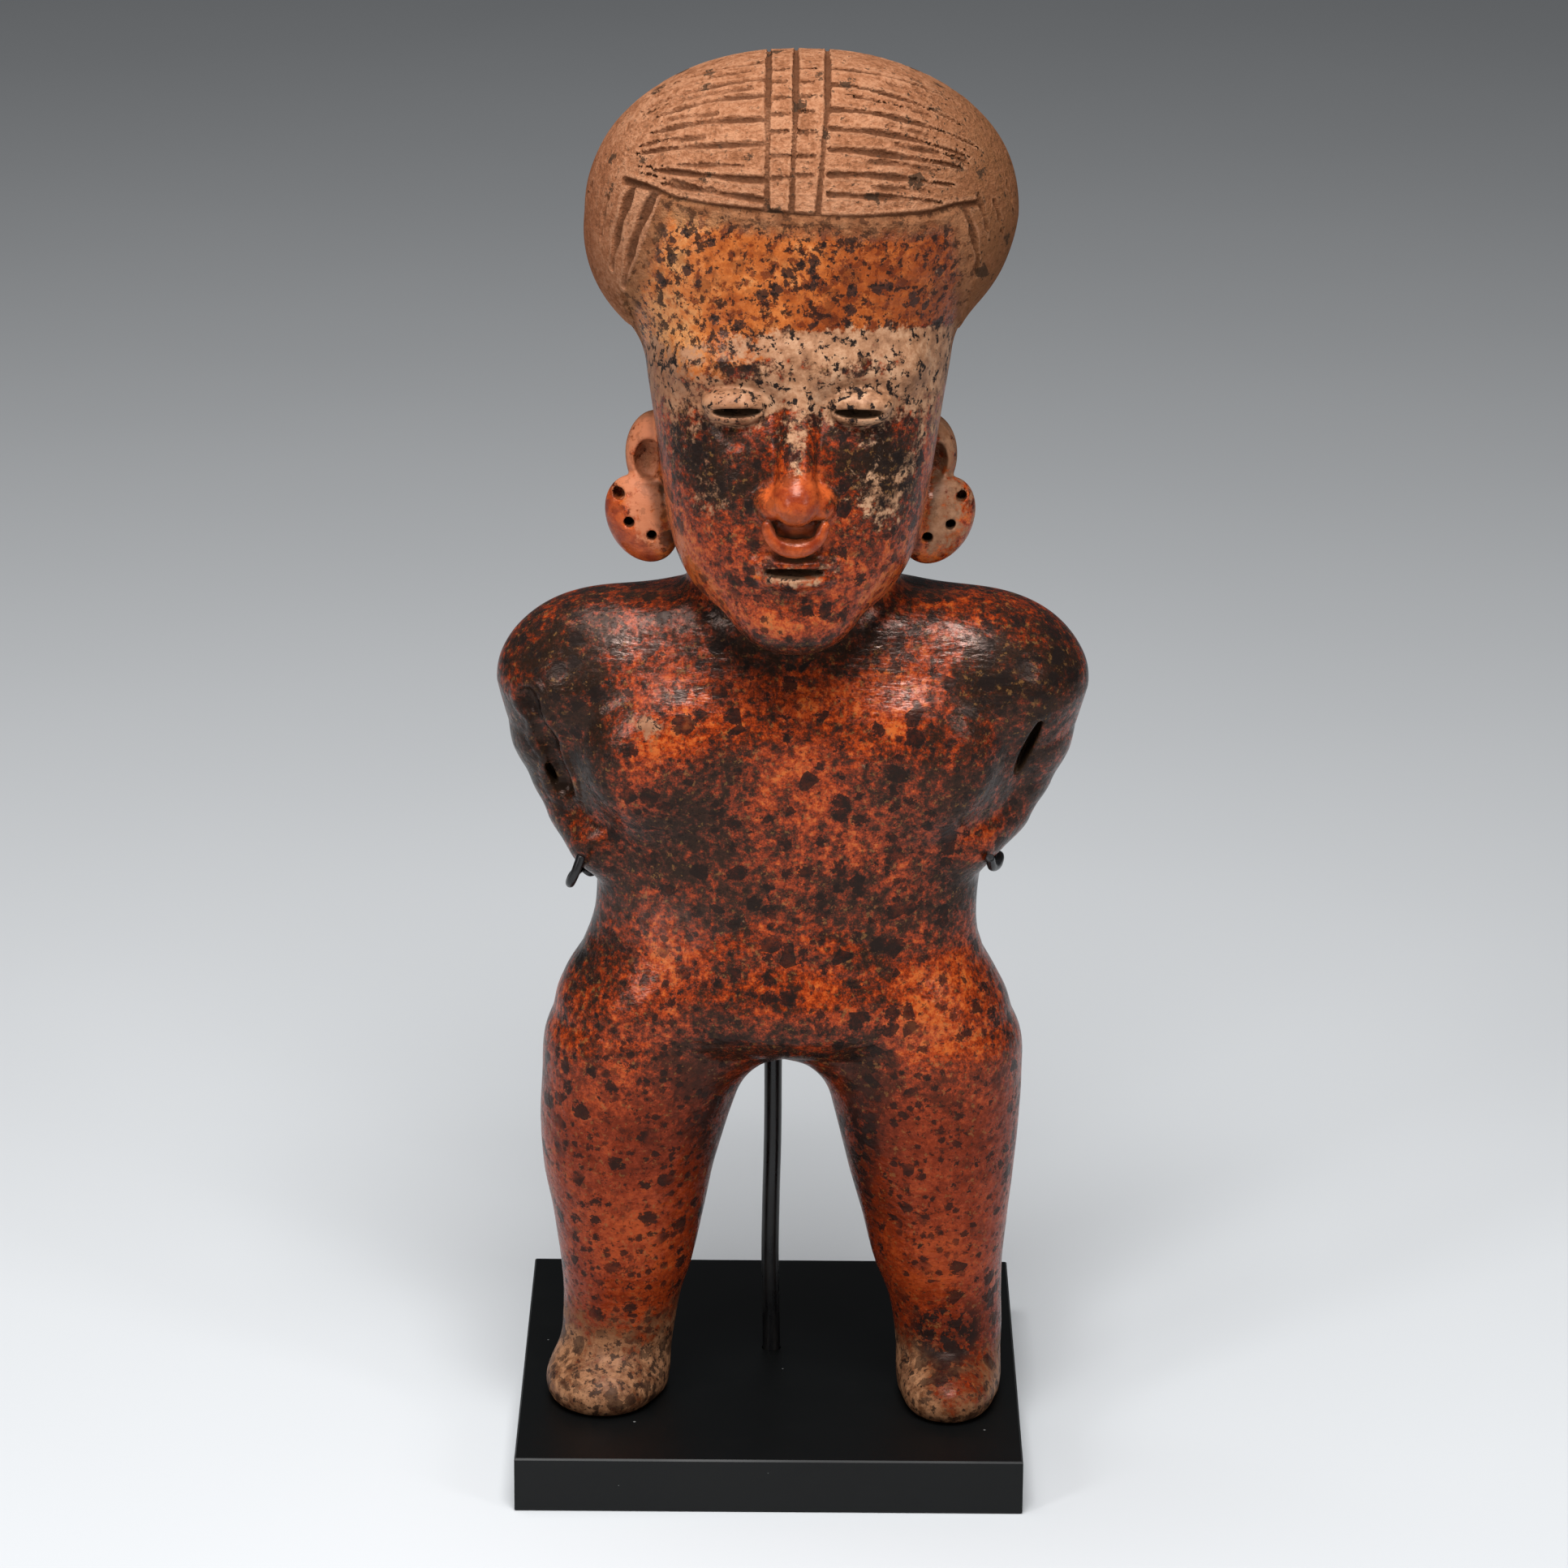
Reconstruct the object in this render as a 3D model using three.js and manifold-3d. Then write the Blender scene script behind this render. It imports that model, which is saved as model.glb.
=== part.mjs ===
import * as THREE from 'three';
import { mergeVertices } from 'three/addons/utils/BufferGeometryUtils.js';
import Module from 'manifold-3d';

// A standing hollow ceramic figure with its hands at its waist, on a square block, held up by a bent
// rod with two hooks. Millimetres, +Z up, -Y the front, the origin at the middle of the block's
// underside.

// The block
const BASE_WIDTH = 178;
const BASE_DEPTH = 178;
const BASE_THICKNESS = 20;
const BASE_BEVEL = 0.6;

// The figure, and where its axis stands on the block
const FIGURE_HEIGHT = 486;
const FIGURE_FORWARD = 25;
const FIGURE_OFFSET = 3.4;
const LEAN_DEGREES = 0.6;

// The rod, its socket in the block, and the wire that hooks under the hands
const ROD_DIAMETER = 6.35;
const ROD_BACK = 8;
const ROD_OFFSET = 0.5;
const ROD_STRAIGHT = 85;
const ROD_BOW = 0.7;
const SOCKET_DEPTH = 12;
const WIRE_DIAMETER = 3.2;
const TOUCH_GAP = 0.3;

// The carving
const STROKE_WIDTH = 2.2;
const PARTING_WIDTH = 2.6;
const TICK_WIDTH = 1.6;
const TICK_LENGTH = 5;
const STROKES_BEHIND = 3;
const TICKS = 7;
const EAR_HOLE_DIAMETER = 3.4;
const EAR_HOLE_DEPTH = 12;
const EYE_SLIT_HEIGHT = 2.8;
const MOUTH_SLIT_HEIGHT = 3.4;
const NOSTRIL_DIAMETER = 4;
const ARM_SLOT_WIDTH = 4.6;

// The body plan is drawn for a figure this high, and every length in it grows with the figure
const PLAN_HEIGHT = 486;
const GROWTH = FIGURE_HEIGHT / PLAN_HEIGHT;

// Sections of the plan: height, middle across, half width, middle fore and aft, half depth
const TRUNK = [
  [136, -1, 42, -1, 24],
  [141, -1, 64, -1, 32],
  [149, -1.5, 74.5, -1, 37.5],
  [158, -2, 75, -1, 39],
  [171, -1.4, 69.4, -1, 37],
  [184, -0.6, 66.8, -2, 35.2],
  [199, 0, 66.8, -2.5, 35],
  [212, 0.6, 70, -3, 35.5],
  [228, 0.6, 77, -3.5, 36.5],
  [243, 0.6, 83.5, -3.5, 37],
  [258, 0.6, 87.5, -3, 37],
  [272, 0.6, 87, -1, 34],
  [286, 1, 78, 1, 28],
  [297, 2, 60, 2, 22],
  [304, 2, 42, 2, 16],
];
const LEFT_LEG = [
  [-4, -60, 18.5, 3, 18],
  [24, -57.9, 20, 2, 19.5],
  [37, -56.4, 21, 2, 20.5],
  [50, -54.9, 23.5, 1, 22.5],
  [69, -54.5, 26.8, 0, 25],
  [87, -54.8, 30, -1, 28],
  [106, -53, 33.1, -2, 31],
  [122, -50.2, 35.4, -2, 33.5],
  [138, -47.5, 37, -1.5, 34.5],
  [152, -44, 33.5, -1, 33],
  [168, -38, 27, 0, 29],
];
const RIGHT_LEG = [
  [-4, 61, 17.5, 3, 17.5],
  [24, 60.2, 19.2, 2, 19],
  [37, 58.6, 20.3, 2, 20],
  [50, 56, 22.8, 1, 22],
  [69, 54.2, 26, 0, 25],
  [87, 52.4, 29.3, -1, 28],
  [106, 50.5, 32.3, -2, 31],
  [122, 48.6, 34.6, -2, 33.5],
  [138, 46, 36.4, -1.5, 34.5],
  [152, 42, 33, -1, 33],
  [168, 36, 27, 0, 29],
];
const HEAD = [
  [298, 0, 20, -30, 22],
  [306, 0, 31, -25, 35],
  [320, 0, 40, -21, 44],
  [342, 0, 45, -17, 48.5],
  [365, 0, 48.5, -14, 49],
  [386, 0, 51.5, -11.5, 48.5],
  [410, 0, 54, -9, 48],
  [435, 0, 60, -6, 46],
  [455, 0, 58, -5, 40],
];

// The cap of hair: an oval, fuller below its middle than above
const HAIR_MIDDLE = [0.4, -4, 432];
const HAIR_WIDTH = 72.3;
const HAIR_DEPTH = 50;
const HAIR_RISE = 53.8;
const HAIR_FALL = 54;
const HAIR_SQUARENESS = 2.1;
const HAIR_LEAN = 0.09;

// The face keeps to plain proportions: equal thirds from hairline to brow, nose base and chin
const HAIRLINE = 440;
const CHIN = 291;
const THIRD = (HAIRLINE - CHIN) / 3;
const NOSE_BASE = CHIN + THIRD;
const BROW = NOSE_BASE + THIRD;
const MOUTH = NOSE_BASE - THIRD / 3;
const EYE_WIDTH = 20;
const EYE = BROW - 12.5;

const wasm = await Module();
wasm.setup();

// Arithmetic of forms: each form is a function of x, y and z that is negative inside and zero on its skin

const { clamp, lerp, smoothstep, degToRad } = THREE.MathUtils;

function blend(a, b, width) {
  const share = clamp(0.5 + (0.5 * (b - a)) / width, 0, 1);
  return lerp(b, a, share) - width * share * (1 - share);
}

function carve(a, b, width) {
  return -blend(-a, b, width);
}

// A smooth curve through every column of a list of sections, at height z
function sectionAt(sections, z) {
  const last = sections.length - 1;
  const height = clamp(z, sections[0][0], sections[last][0]);
  let below = 0;
  while (below < last - 1 && sections[below + 1][0] < height) below += 1;
  const slope = (i, column) => {
    const from = sections[Math.max(i - 1, 0)];
    const to = sections[Math.min(i + 1, last)];
    return (to[column] - from[column]) / (to[0] - from[0]);
  };
  const step = sections[below + 1][0] - sections[below][0];
  const t = (height - sections[below][0]) / step;
  return [1, 2, 3, 4].map((column) => {
    const start = sections[below][column];
    const end = sections[below + 1][column];
    const ease = t * t * (3 - 2 * t);
    const leave = step * t * (1 - t) * (1 - t) * slope(below, column);
    const arrive = step * t * t * (t - 1) * slope(below + 1, column);
    return lerp(start, end, ease) + leave + arrive;
  });
}

// A stack of oval sections with rounded ends
function stack(sections, squareness, rounding) {
  const bottom = sections[0][0];
  const top = sections[sections.length - 1][0];
  return (x, y, z) => {
    const [middleX, halfWidth, middleY, halfDepth] = sectionAt(sections, z);
    const across = Math.abs(x - middleX) / halfWidth;
    const along = Math.abs(y - middleY) / halfDepth;
    const reach = (across ** squareness + along ** squareness) ** (1 / squareness);
    const side = (reach - 1) * Math.min(halfWidth, halfDepth);
    const end = Math.max(z - top, bottom - z);
    return -blend(-side, -end, rounding);
  };
}

// An oval body with its radii, turned about the vertical
function oval([cx, cy, cz], [rx, ry, rz], turn = 0) {
  const cos = Math.cos(turn);
  const sin = Math.sin(turn);
  return (x, y, z) => {
    const u = ((x - cx) * cos + (y - cy) * sin) / rx;
    const v = (-(x - cx) * sin + (y - cy) * cos) / ry;
    const w = (z - cz) / rz;
    const length = Math.hypot(u, v, w);
    const spread = Math.hypot(u / rx, v / ry, w / rz);
    return (length * (length - 1)) / Math.max(spread, 1e-9);
  };
}

// A rounded limb between two points, from one radius to another, flattened fore and aft
function limb([ax, ay, az], [bx, by, bz], startRadius, endRadius, flatness = 1) {
  const along = [bx - ax, (by - ay) / flatness, bz - az];
  const squared = along[0] ** 2 + along[1] ** 2 + along[2] ** 2;
  return (x, y, z) => {
    const from = [x - ax, (y - ay) / flatness, z - az];
    const dot = from[0] * along[0] + from[1] * along[1] + from[2] * along[2];
    const t = clamp(dot / squared, 0, 1);
    const away = Math.hypot(from[0] - t * along[0], from[1] - t * along[1], from[2] - t * along[2]);
    return away - lerp(startRadius, endRadius, t);
  };
}

const both = (form) => (x, y, z) => form(Math.abs(x), y, z);

// The body

const trunk = stack(TRUNK, 2.35, 14);
const mound = oval([1, -23, 154], [25, 17, 16.5]);
const breasts = both(oval([42, -30, 246], [25, 11, 22]));
const neck = limb([-1, 0, 284], [0, -6, 322], 36, 36, 0.8);

// Each arm is the ball of its shoulder and a chain of joints down to the hand at the waist, each joint
// with its radius; the left shoulder hangs a little, and the right hand rides higher
const SHOULDER_RADII = [29.8, 26, 29.5];
const LEFT_ARM = [[-75, 0, 258, 23.6], [-78.6, 0, 246, 17], [-75.8, 0, 233, 14], [-72.4, -3, 221.5, 11.6],
  [-66.5, -13, 212, 9.6]];
const RIGHT_ARM = [[75.4, 0, 258, 23.6], [78.8, 0, 246, 16.8], [76.2, 0, 234, 14], [72, -3, 223, 11.6],
  [62, -15, 215.5, 9.6]];
const LEFT_SHOULDER = [-69, 1, 265];
const RIGHT_SHOULDER = [69.6, 1, 264.5];

function arm(shoulder, joints) {
  const ball = oval(shoulder, SHOULDER_RADII);
  const parts = joints.slice(1).map((end, i) => limb(joints[i], end, joints[i][3], end[3]));
  return (x, y, z) => parts.reduce((form, part, i) => blend(form, part(x, y, z), i ? 3 : 10), ball(x, y, z));
}
const leftArm = arm(LEFT_SHOULDER, LEFT_ARM);
const rightArm = arm(RIGHT_SHOULDER, RIGHT_ARM);
const arms = (x, y, z) => (x < 0 ? leftArm : rightArm)(x, y, z);

const leftFoot = oval([-63, -8.5, 6], [20.2, 24, 12.5], 0.12);
const rightFoot = oval([60.5, -14, 6.5], [17, 22.5, 12.5]);
const leftLegOnly = stack(LEFT_LEG, 2.1, 6);
const rightLegOnly = stack(RIGHT_LEG, 2.1, 6);
const leftLeg = (x, y, z) => blend(leftLegOnly(x, y, z), leftFoot(x, y, z), 9);
const rightLeg = (x, y, z) => blend(rightLegOnly(x, y, z), rightFoot(x, y, z), 9);

// The trunk with its neck and thighs melted together, more widely near the middle
function torso(x, y, z) {
  const arch = 8 + 16 * (1 - smoothstep(Math.abs(x), 10, 40));
  let form = blend(trunk(x, y, z), Math.min(leftLeg(x, y, z), rightLeg(x, y, z)), arch);
  form = blend(form, mound(x, y, z), 9);
  form = blend(form, breasts(x, y, z), 10);
  return blend(form, neck(x, y, z), 7);
}

// The shoulders and the hands melt into the trunk, and the arms between them only touch it
function torsoAndArms(x, y, z) {
  const width = 3 + 12 * smoothstep(z, 248, 276) + 7 * (1 - smoothstep(z, 208, 226));
  return blend(torso(x, y, z), arms(x, y, z), width);
}

// Each limb is wrapped on its own, a little into the body that it melts into
const LEG_MARGIN = 12;
const ARM_MARGIN = 16;
const HIP = 142;
const legSkin = (leg) => (x, y, z) => Math.max(torso(x, y, z), leg(x, y, z) - LEG_MARGIN);
const armSkin = (x, y, z) => Math.max(torsoAndArms(x, y, z), arms(x, y, z) - ARM_MARGIN);
const trunkSkin = (x, y, z) => (z < HIP ? Math.max(torso(x, y, z), trunk(x, y, z)) : torso(x, y, z));

// The head

// The cap is a squarish oval whose lower half leans a little to one side
function hair(x, y, z) {
  const rise = z - HAIR_MIDDLE[2];
  const lean = HAIR_LEAN * Math.min(rise, 0);
  const u = Math.abs(x - HAIR_MIDDLE[0] - lean) / HAIR_WIDTH;
  const v = Math.abs(y - HAIR_MIDDLE[1]) / HAIR_DEPTH;
  const w = Math.abs(rise) / (rise < 0 ? HAIR_FALL : HAIR_RISE);
  const reach = u ** HAIR_SQUARENESS + v ** HAIR_SQUARENESS + w ** HAIR_SQUARENESS;
  return (reach ** (1 / HAIR_SQUARENESS) - 1) * HAIR_DEPTH;
}

const skull = stack(HEAD, 2.3, 14);
const brows = both(limb([6, -52, BROW + 1], [33, -44, BROW - 1], 7, 6));
const sockets = both(oval([EYE_WIDTH, -66, EYE], [15, 9, 10]));
const chin = oval([0, -49, CHIN + 13], [20, 15, 13]);

function head(x, y, z) {
  let form = blend(skull(x, y, z), brows(x, y, z), 9);
  form = carve(form, sockets(x, y, z), 7);
  form = blend(form, chin(x, y, z), 9);
  return blend(form, hair(x, y, z), 6);
}

const bridge = limb([0, -54, BROW - 6], [0, -69, NOSE_BASE + 11], 5.5, 7);
const noseTip = oval([0, -69, NOSE_BASE + 8], [8, 9, 8]);
const nostrilWings = both(oval([7, -64.5, NOSE_BASE + 6.5], [5.6, 7, 6]));

function nose(x, y, z) {
  const front = blend(bridge(x, y, z), noseTip(x, y, z), 4);
  return blend(front, nostrilWings(x, y, z), 3);
}

// From the plan to the figure as it stands

const LEAN = Math.tan(degToRad(LEAN_DEGREES));
const SOLE_HEIGHT = BASE_THICKNESS + TOUCH_GAP;

function placed(x, y, z) {
  const px = x * GROWTH + FIGURE_OFFSET + LEAN * z * GROWTH;
  return new THREE.Vector3(px, y * GROWTH - FIGURE_FORWARD, z * GROWTH + SOLE_HEIGHT);
}

function onPlan(point) {
  const z = (point.z - SOLE_HEIGHT) / GROWTH;
  const x = (point.x - FIGURE_OFFSET) / GROWTH - LEAN * z;
  return [x, (point.y + FIGURE_FORWARD) / GROWTH, z];
}

function placeAll(geometry) {
  const position = geometry.attributes.position;
  for (let i = 0; i < position.count; i += 1) {
    const point = placed(position.getX(i), position.getY(i), position.getZ(i));
    position.setXYZ(i, point.x, point.y, point.z);
  }
  return geometry;
}

// How far out from (cx, cy), along an angle, the skin of a form lies at height z
function skinRadius(form, cx, cy, z, angle, reach) {
  let inside = 0;
  let outside = reach;
  for (let i = 0; i < 24; i += 1) {
    const middle = (inside + outside) / 2;
    if (form(cx + middle * Math.cos(angle), cy + middle * Math.sin(angle), z) < 0) inside = middle;
    else outside = middle;
  }
  return inside;
}

// Heights of rings from top to bottom, closer together near a rounded end
function levels(top, bottom, count, topRound, bottomRound) {
  return Array.from({ length: count + 1 }, (_, i) => {
    const t = i / count;
    const easeIn = topRound * (1 - Math.cos((t * Math.PI) / 2)) + (1 - topRound) * t;
    const easeOut = bottomRound * Math.sin((t * Math.PI) / 2) + (1 - bottomRound) * t;
    return lerp(top, bottom, lerp(easeIn, easeOut, t));
  });
}

// A closed skin on a form: the rings of a sphere, moved to the heights given and out to the skin.
// A crowding over 0 draws the ring's points together at the front.
function wrap(form, middleAt, heights, around, reach, crowding = 0) {
  const geometry = new THREE.SphereGeometry(1, around, heights.length - 1);
  const position = geometry.attributes.position;
  const end = heights.length - 1;
  heights.forEach((z, ring) => {
    const [cx, cy] = middleAt(z);
    for (let i = 0; i <= around; i += 1) {
      const even = ((i % around) / around) * 2 * Math.PI;
      const angle = even + crowding * Math.cos(even) + Math.PI;
      const pole = ring === 0 || ring === end;
      const radius = pole ? 0 : skinRadius(form, cx, cy, z, angle, reach);
      const index = ring * (around + 1) + i;
      position.setXYZ(index, cx + radius * Math.cos(angle), cy + radius * Math.sin(angle), z);
    }
  });
  return placeAll(geometry);
}

// Solids for joining and cutting

function solid(geometry) {
  const bare = geometry.clone();
  bare.deleteAttribute('normal');
  bare.deleteAttribute('uv');
  const merged = mergeVertices(bare, 1e-4);
  const mesh = new wasm.Mesh({
    numProp: 3,
    vertProperties: new Float32Array(merged.attributes.position.array),
    triVerts: new Uint32Array(merged.index.array),
  });
  return new wasm.Manifold(mesh);
}

function asGeometry(manifold) {
  const mesh = manifold.getMesh();
  const geometry = new THREE.BufferGeometry();
  geometry.setAttribute('position', new THREE.BufferAttribute(mesh.vertProperties, 3));
  geometry.setIndex(new THREE.BufferAttribute(mesh.triVerts, 1));
  geometry.computeVertexNormals();
  return geometry;
}

const joined = (solids) => solids.reduce((whole, piece) => whole.add(piece));
const cut = (whole, tools) => tools.reduce((left, tool) => left.subtract(tool), whole);

// An oval bead in the plan, with its radii, leaned over and then turned about the vertical
function bead(middle, radii, around, rings, turn = 0, lean = 0) {
  const geometry = new THREE.SphereGeometry(1, around, rings);
  geometry.rotateX(Math.PI / 2);
  geometry.scale(...radii);
  geometry.rotateY(lean);
  geometry.rotateZ(turn);
  geometry.translate(...middle);
  return solid(placeAll(geometry));
}

function ring(radius, sides) {
  const points = Array.from({ length: sides }, (_, i) => {
    const angle = ((i + 0.5) / sides) * 2 * Math.PI;
    return new THREE.Vector2(radius * Math.cos(angle), radius * Math.sin(angle));
  });
  return new THREE.Shape(points);
}

// A bar of round section along a smooth path of placed points
function bar(points, diameter, sides, steps) {
  const path = new THREE.CatmullRomCurve3(points, false, 'centripetal');
  const options = { steps, extrudePath: path, bevelEnabled: false };
  return solid(new THREE.ExtrudeGeometry(ring(diameter / 2, sides), options));
}

// A straight round pin from one placed point to another
function pin(from, to, diameter, sides) {
  const span = new THREE.Vector3().subVectors(to, from);
  const geometry = new THREE.CylinderGeometry(diameter / 2, diameter / 2, span.length(), sides);
  const up = new THREE.Vector3(0, 1, 0);
  geometry.applyQuaternion(new THREE.Quaternion().setFromUnitVectors(up, span.clone().normalize()));
  geometry.translate(...new THREE.Vector3().addVectors(from, to).multiplyScalar(0.5).toArray());
  return solid(geometry);
}

// The gradient of a form at a point of the plan
function slopeOf(form, x, y, z) {
  const h = 0.05;
  const gx = (form(x + h, y, z) - form(x - h, y, z)) / (2 * h);
  const gy = (form(x, y + h, z) - form(x, y - h, z)) / (2 * h);
  const gz = (form(x, y, z + h) - form(x, y, z - h)) / (2 * h);
  return [gx, gy, gz];
}

// A point of the plan moved square to the skin, to the distance given outside it
function settle(form, [x, y, z], distance = 0) {
  const point = [x, y, z];
  for (let i = 0; i < 6; i += 1) {
    const slope = slopeOf(form, ...point);
    const size = Math.hypot(...slope);
    const move = distance - form(...point) / size;
    slope.forEach((part, axis) => {
      point[axis] += (move * part) / size;
    });
  }
  return point;
}

// The pieces of the figure

const HEAD_TOP = HAIR_MIDDLE[2] + HAIR_RISE;
const LEFT_EAR = 48;
const RIGHT_EAR = 44.5;

function headMiddle(z) {
  const [, , middleY] = sectionAt(HEAD, z);
  return [0.2, middleY];
}

function headSolid() {
  const hairLevels = levels(HEAD_TOP, BROW + 16, 9, 0.9, 0);
  const faceLevels = levels(BROW + 16, CHIN + 0.6, 18, 0, 0.9);
  return solid(wrap(head, headMiddle, [...hairLevels.slice(0, -1), ...faceLevels], 32, 90, 0.45));
}

function noseSolid() {
  const heights = levels(BROW + 0.5, NOSE_BASE + 0.4, 8, 0.3, 0.6);
  const middleAt = (z) => [0, lerp(-69, -54, (z - NOSE_BASE - 8) / (THIRD - 14))];
  return solid(wrap(nose, middleAt, heights, 10, 20));
}

function trunkSolid() {
  const heights = levels(336, HIP, 17, 0, 0);
  return solid(wrap(trunkSkin, () => [0.5, -1], [...heights, HIP - 4, HIP - 6], 26, 115));
}

function legSolid(sections, leg) {
  const shaft = levels(HIP + 1, 0, 11, 0, 0.3);
  const middleAt = (z) => {
    const [middleX, , middleY] = sectionAt(sections, z);
    return [middleX, middleY - 8 * smoothstep(30 - z, 0, 30)];
  };
  return solid(wrap(legSkin(leg), middleAt, [HIP + 8, ...shaft, 0], 16, 60));
}

function armSolid(shoulder, joints) {
  const line = [shoulder, ...joints].reverse();
  const hand = line[0];
  const middleAt = (z) => {
    const found = line.findIndex((joint) => joint[2] > z);
    const above = found < 0 ? line.length - 1 : Math.max(found, 1);
    const [from, to] = [line[above - 1], line[above]];
    const share = clamp((z - from[2]) / (to[2] - from[2]), 0, 1);
    return [0, 1].map((axis) => lerp(from[axis], to[axis], share));
  };
  const heights = levels(shoulder[2] + SHOULDER_RADII[2] - 0.5, hand[2] - hand[3], 14, 0.8, 0.7);
  return solid(wrap(armSkin, middleAt, heights, 16, 60));
}

// The ornament through the nose: a crescent, thickest below
function noseRing() {
  const radius = 10.5;
  const reach = degToRad(84);
  const points = Array.from({ length: 7 }, (_, i) => {
    const angle = lerp(-reach, reach, i / 6);
    return placed(radius * Math.sin(angle), -67, NOSE_BASE + 3 - radius * Math.cos(angle));
  });
  return bar(points, 5.6 * GROWTH, 6, 8);
}

// An ear with a round ornament below it, at the side and distance given. The ornament leans outward.
const ORNAMENT = [4.2, -7, 325.5];
const ORNAMENT_LEAN = degToRad(30);
const EAR_HOLES = [[7.8, 9], [4.2, 0], [-3.6, -4]];

function earSolids(side, out) {
  const ear = bead([side * out, -2, 347], [10.5, 8, 15], 10, 6, side * 0.2);
  const middle = [side * (out + ORNAMENT[0]), ORNAMENT[1], ORNAMENT[2]];
  const ornament = bead(middle, [12.3, 7.5, 16], 12, 8, side * 0.3, side * ORNAMENT_LEAN);
  return [ear, ornament];
}

function earCuts(side, out) {
  const hollow = bead([side * (out + 2), -10, 346], [5, 8, 7], 8, 5);
  const holes = EAR_HOLES.map(([x, rise]) => {
    const mouth = placed(side * (out + ORNAMENT[0] + x), ORNAMENT[1] - 10, ORNAMENT[2] + rise);
    const floor = mouth.clone().add(new THREE.Vector3(0, EAR_HOLE_DEPTH, 0));
    return pin(mouth, floor, EAR_HOLE_DIAMETER, 6);
  });
  return [hollow, ...holes];
}

function faceCuts() {
  const slit = EYE_SLIT_HEIGHT / 2 / GROWTH;
  const mouth = MOUTH_SLIT_HEIGHT / 2 / GROWTH;
  const eyes = [-1, 1].map((side) => bead([side * EYE_WIDTH, -62, EYE], [8.4, 7, slit], 8, 4));
  const nostrils = [-1, 1].map((side) => {
    const from = placed(side * 4.8, -69, NOSE_BASE - 3);
    return pin(from, placed(side * 4.4, -65, NOSE_BASE + 8), NOSTRIL_DIAMETER, 6);
  });
  return [...eyes, ...nostrils, bead([0, -71, MOUTH], [13.5, 8, mouth], 10, 4)];
}

// The hollow between each arm and the body, and the narrow slot through it
const ARM_SLOT_LEAN = 0.36;

function armSlots() {
  const half = ARM_SLOT_WIDTH / 2 / GROWTH;
  const right = bead([81.4, -20.5, 249], [half, 8, 10], 8, 6, 0, ARM_SLOT_LEAN);
  const left = bead([-82.4, -13, 236], [half / 2, 6, 5], 6, 4, 0, -ARM_SLOT_LEAN);
  const hollow = bead([-84.4, -21, 248], [4, 4, 20], 8, 6, 0, -ARM_SLOT_LEAN);
  return [left, right, hollow];
}

// The hair strokes

// A point on the cap of hair: turned up from the front over the crown, and out to the side
function onHair(upDegrees, outDegrees) {
  const up = degToRad(upDegrees);
  const out = degToRad(outDegrees);
  const rise = Math.sin(up) > 0 ? HAIR_RISE : HAIR_FALL;
  const x = HAIR_MIDDLE[0] + HAIR_WIDTH * Math.sin(out);
  const y = HAIR_MIDDLE[1] - HAIR_DEPTH * Math.cos(out) * Math.cos(up);
  const z = HAIR_MIDDLE[2] + rise * Math.cos(out) * Math.sin(up);
  return settle(head, [x, y, z]);
}

function stroke(route, width, steps) {
  const points = route.map(([up, out]) => placed(...onHair(up, out)));
  return bar(points, width, 4, steps);
}

// The strokes on each side of the parting: up at the parting, up at the outer end, and how far out it is
const LEFT_STROKES = [
  [16, 30, 47], [23, 35, 49], [36, 44, 56], [46, 53, 46], [57, 61, 43], [66, 72, 46], [78, 85, 38],
];
const RIGHT_STROKES = [
  [18, 16, 31], [25, 25, 35], [34, 34, 46], [42, 41, 47], [50, 50, 49], [62, 59, 34], [72, 79, 49],
];
const LEFT_PARTING = [-9.4, -9.2];
const MIDDLE_PARTING = [-2.2, -3];
const RIGHT_PARTING = [6, 3.4];

function hairStrokes() {
  const strokes = [];
  const add = (side, near, [from, to, out]) => {
    const route = [[from, near], [lerp(from, to, 0.4), (near + out) / 2], [to, out]];
    strokes.push(stroke(route.map(([up, turn]) => [up, side * turn]), STROKE_WIDTH, 3));
  };
  LEFT_STROKES.forEach((line) => add(-1, 11, line));
  RIGHT_STROKES.forEach((line) => add(1, 7, line));
  for (let i = 0; i < STROKES_BEHIND; i += 1) {
    const up = lerp(104, 158, i / (STROKES_BEHIND - 1));
    add(-1, 11, [up, up, 50]);
    add(1, 7, [up, up, 50]);
  }
  return strokes;
}

function partings() {
  return [LEFT_PARTING, MIDDLE_PARTING, RIGHT_PARTING].map(([top, bottom]) => {
    const route = [10, 32, 56, 80, 105, 130, 155].map((up) => [up, lerp(bottom, top, Math.min(up / 50, 1))]);
    return stroke(route, PARTING_WIDTH, 8);
  });
}

// Short ticks across the two strips between the partings
function ladderTicks() {
  const ticks = [];
  const strips = [[LEFT_PARTING, MIDDLE_PARTING], [MIDDLE_PARTING, RIGHT_PARTING]];
  for (const [left, right] of strips) {
    for (let i = 0; i < TICKS; i += 1) {
      const up = lerp(24, 72, i / (TICKS - 1));
      const out = (left[0] + left[1] + right[0] + right[1]) / 4;
      const [x, y, z] = onHair(up, out);
      const half = TICK_LENGTH / 2 / GROWTH;
      ticks.push(pin(placed(x - half, y, z), placed(x + half, y, z), TICK_WIDTH, 4));
    }
  }
  return ticks;
}

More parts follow.
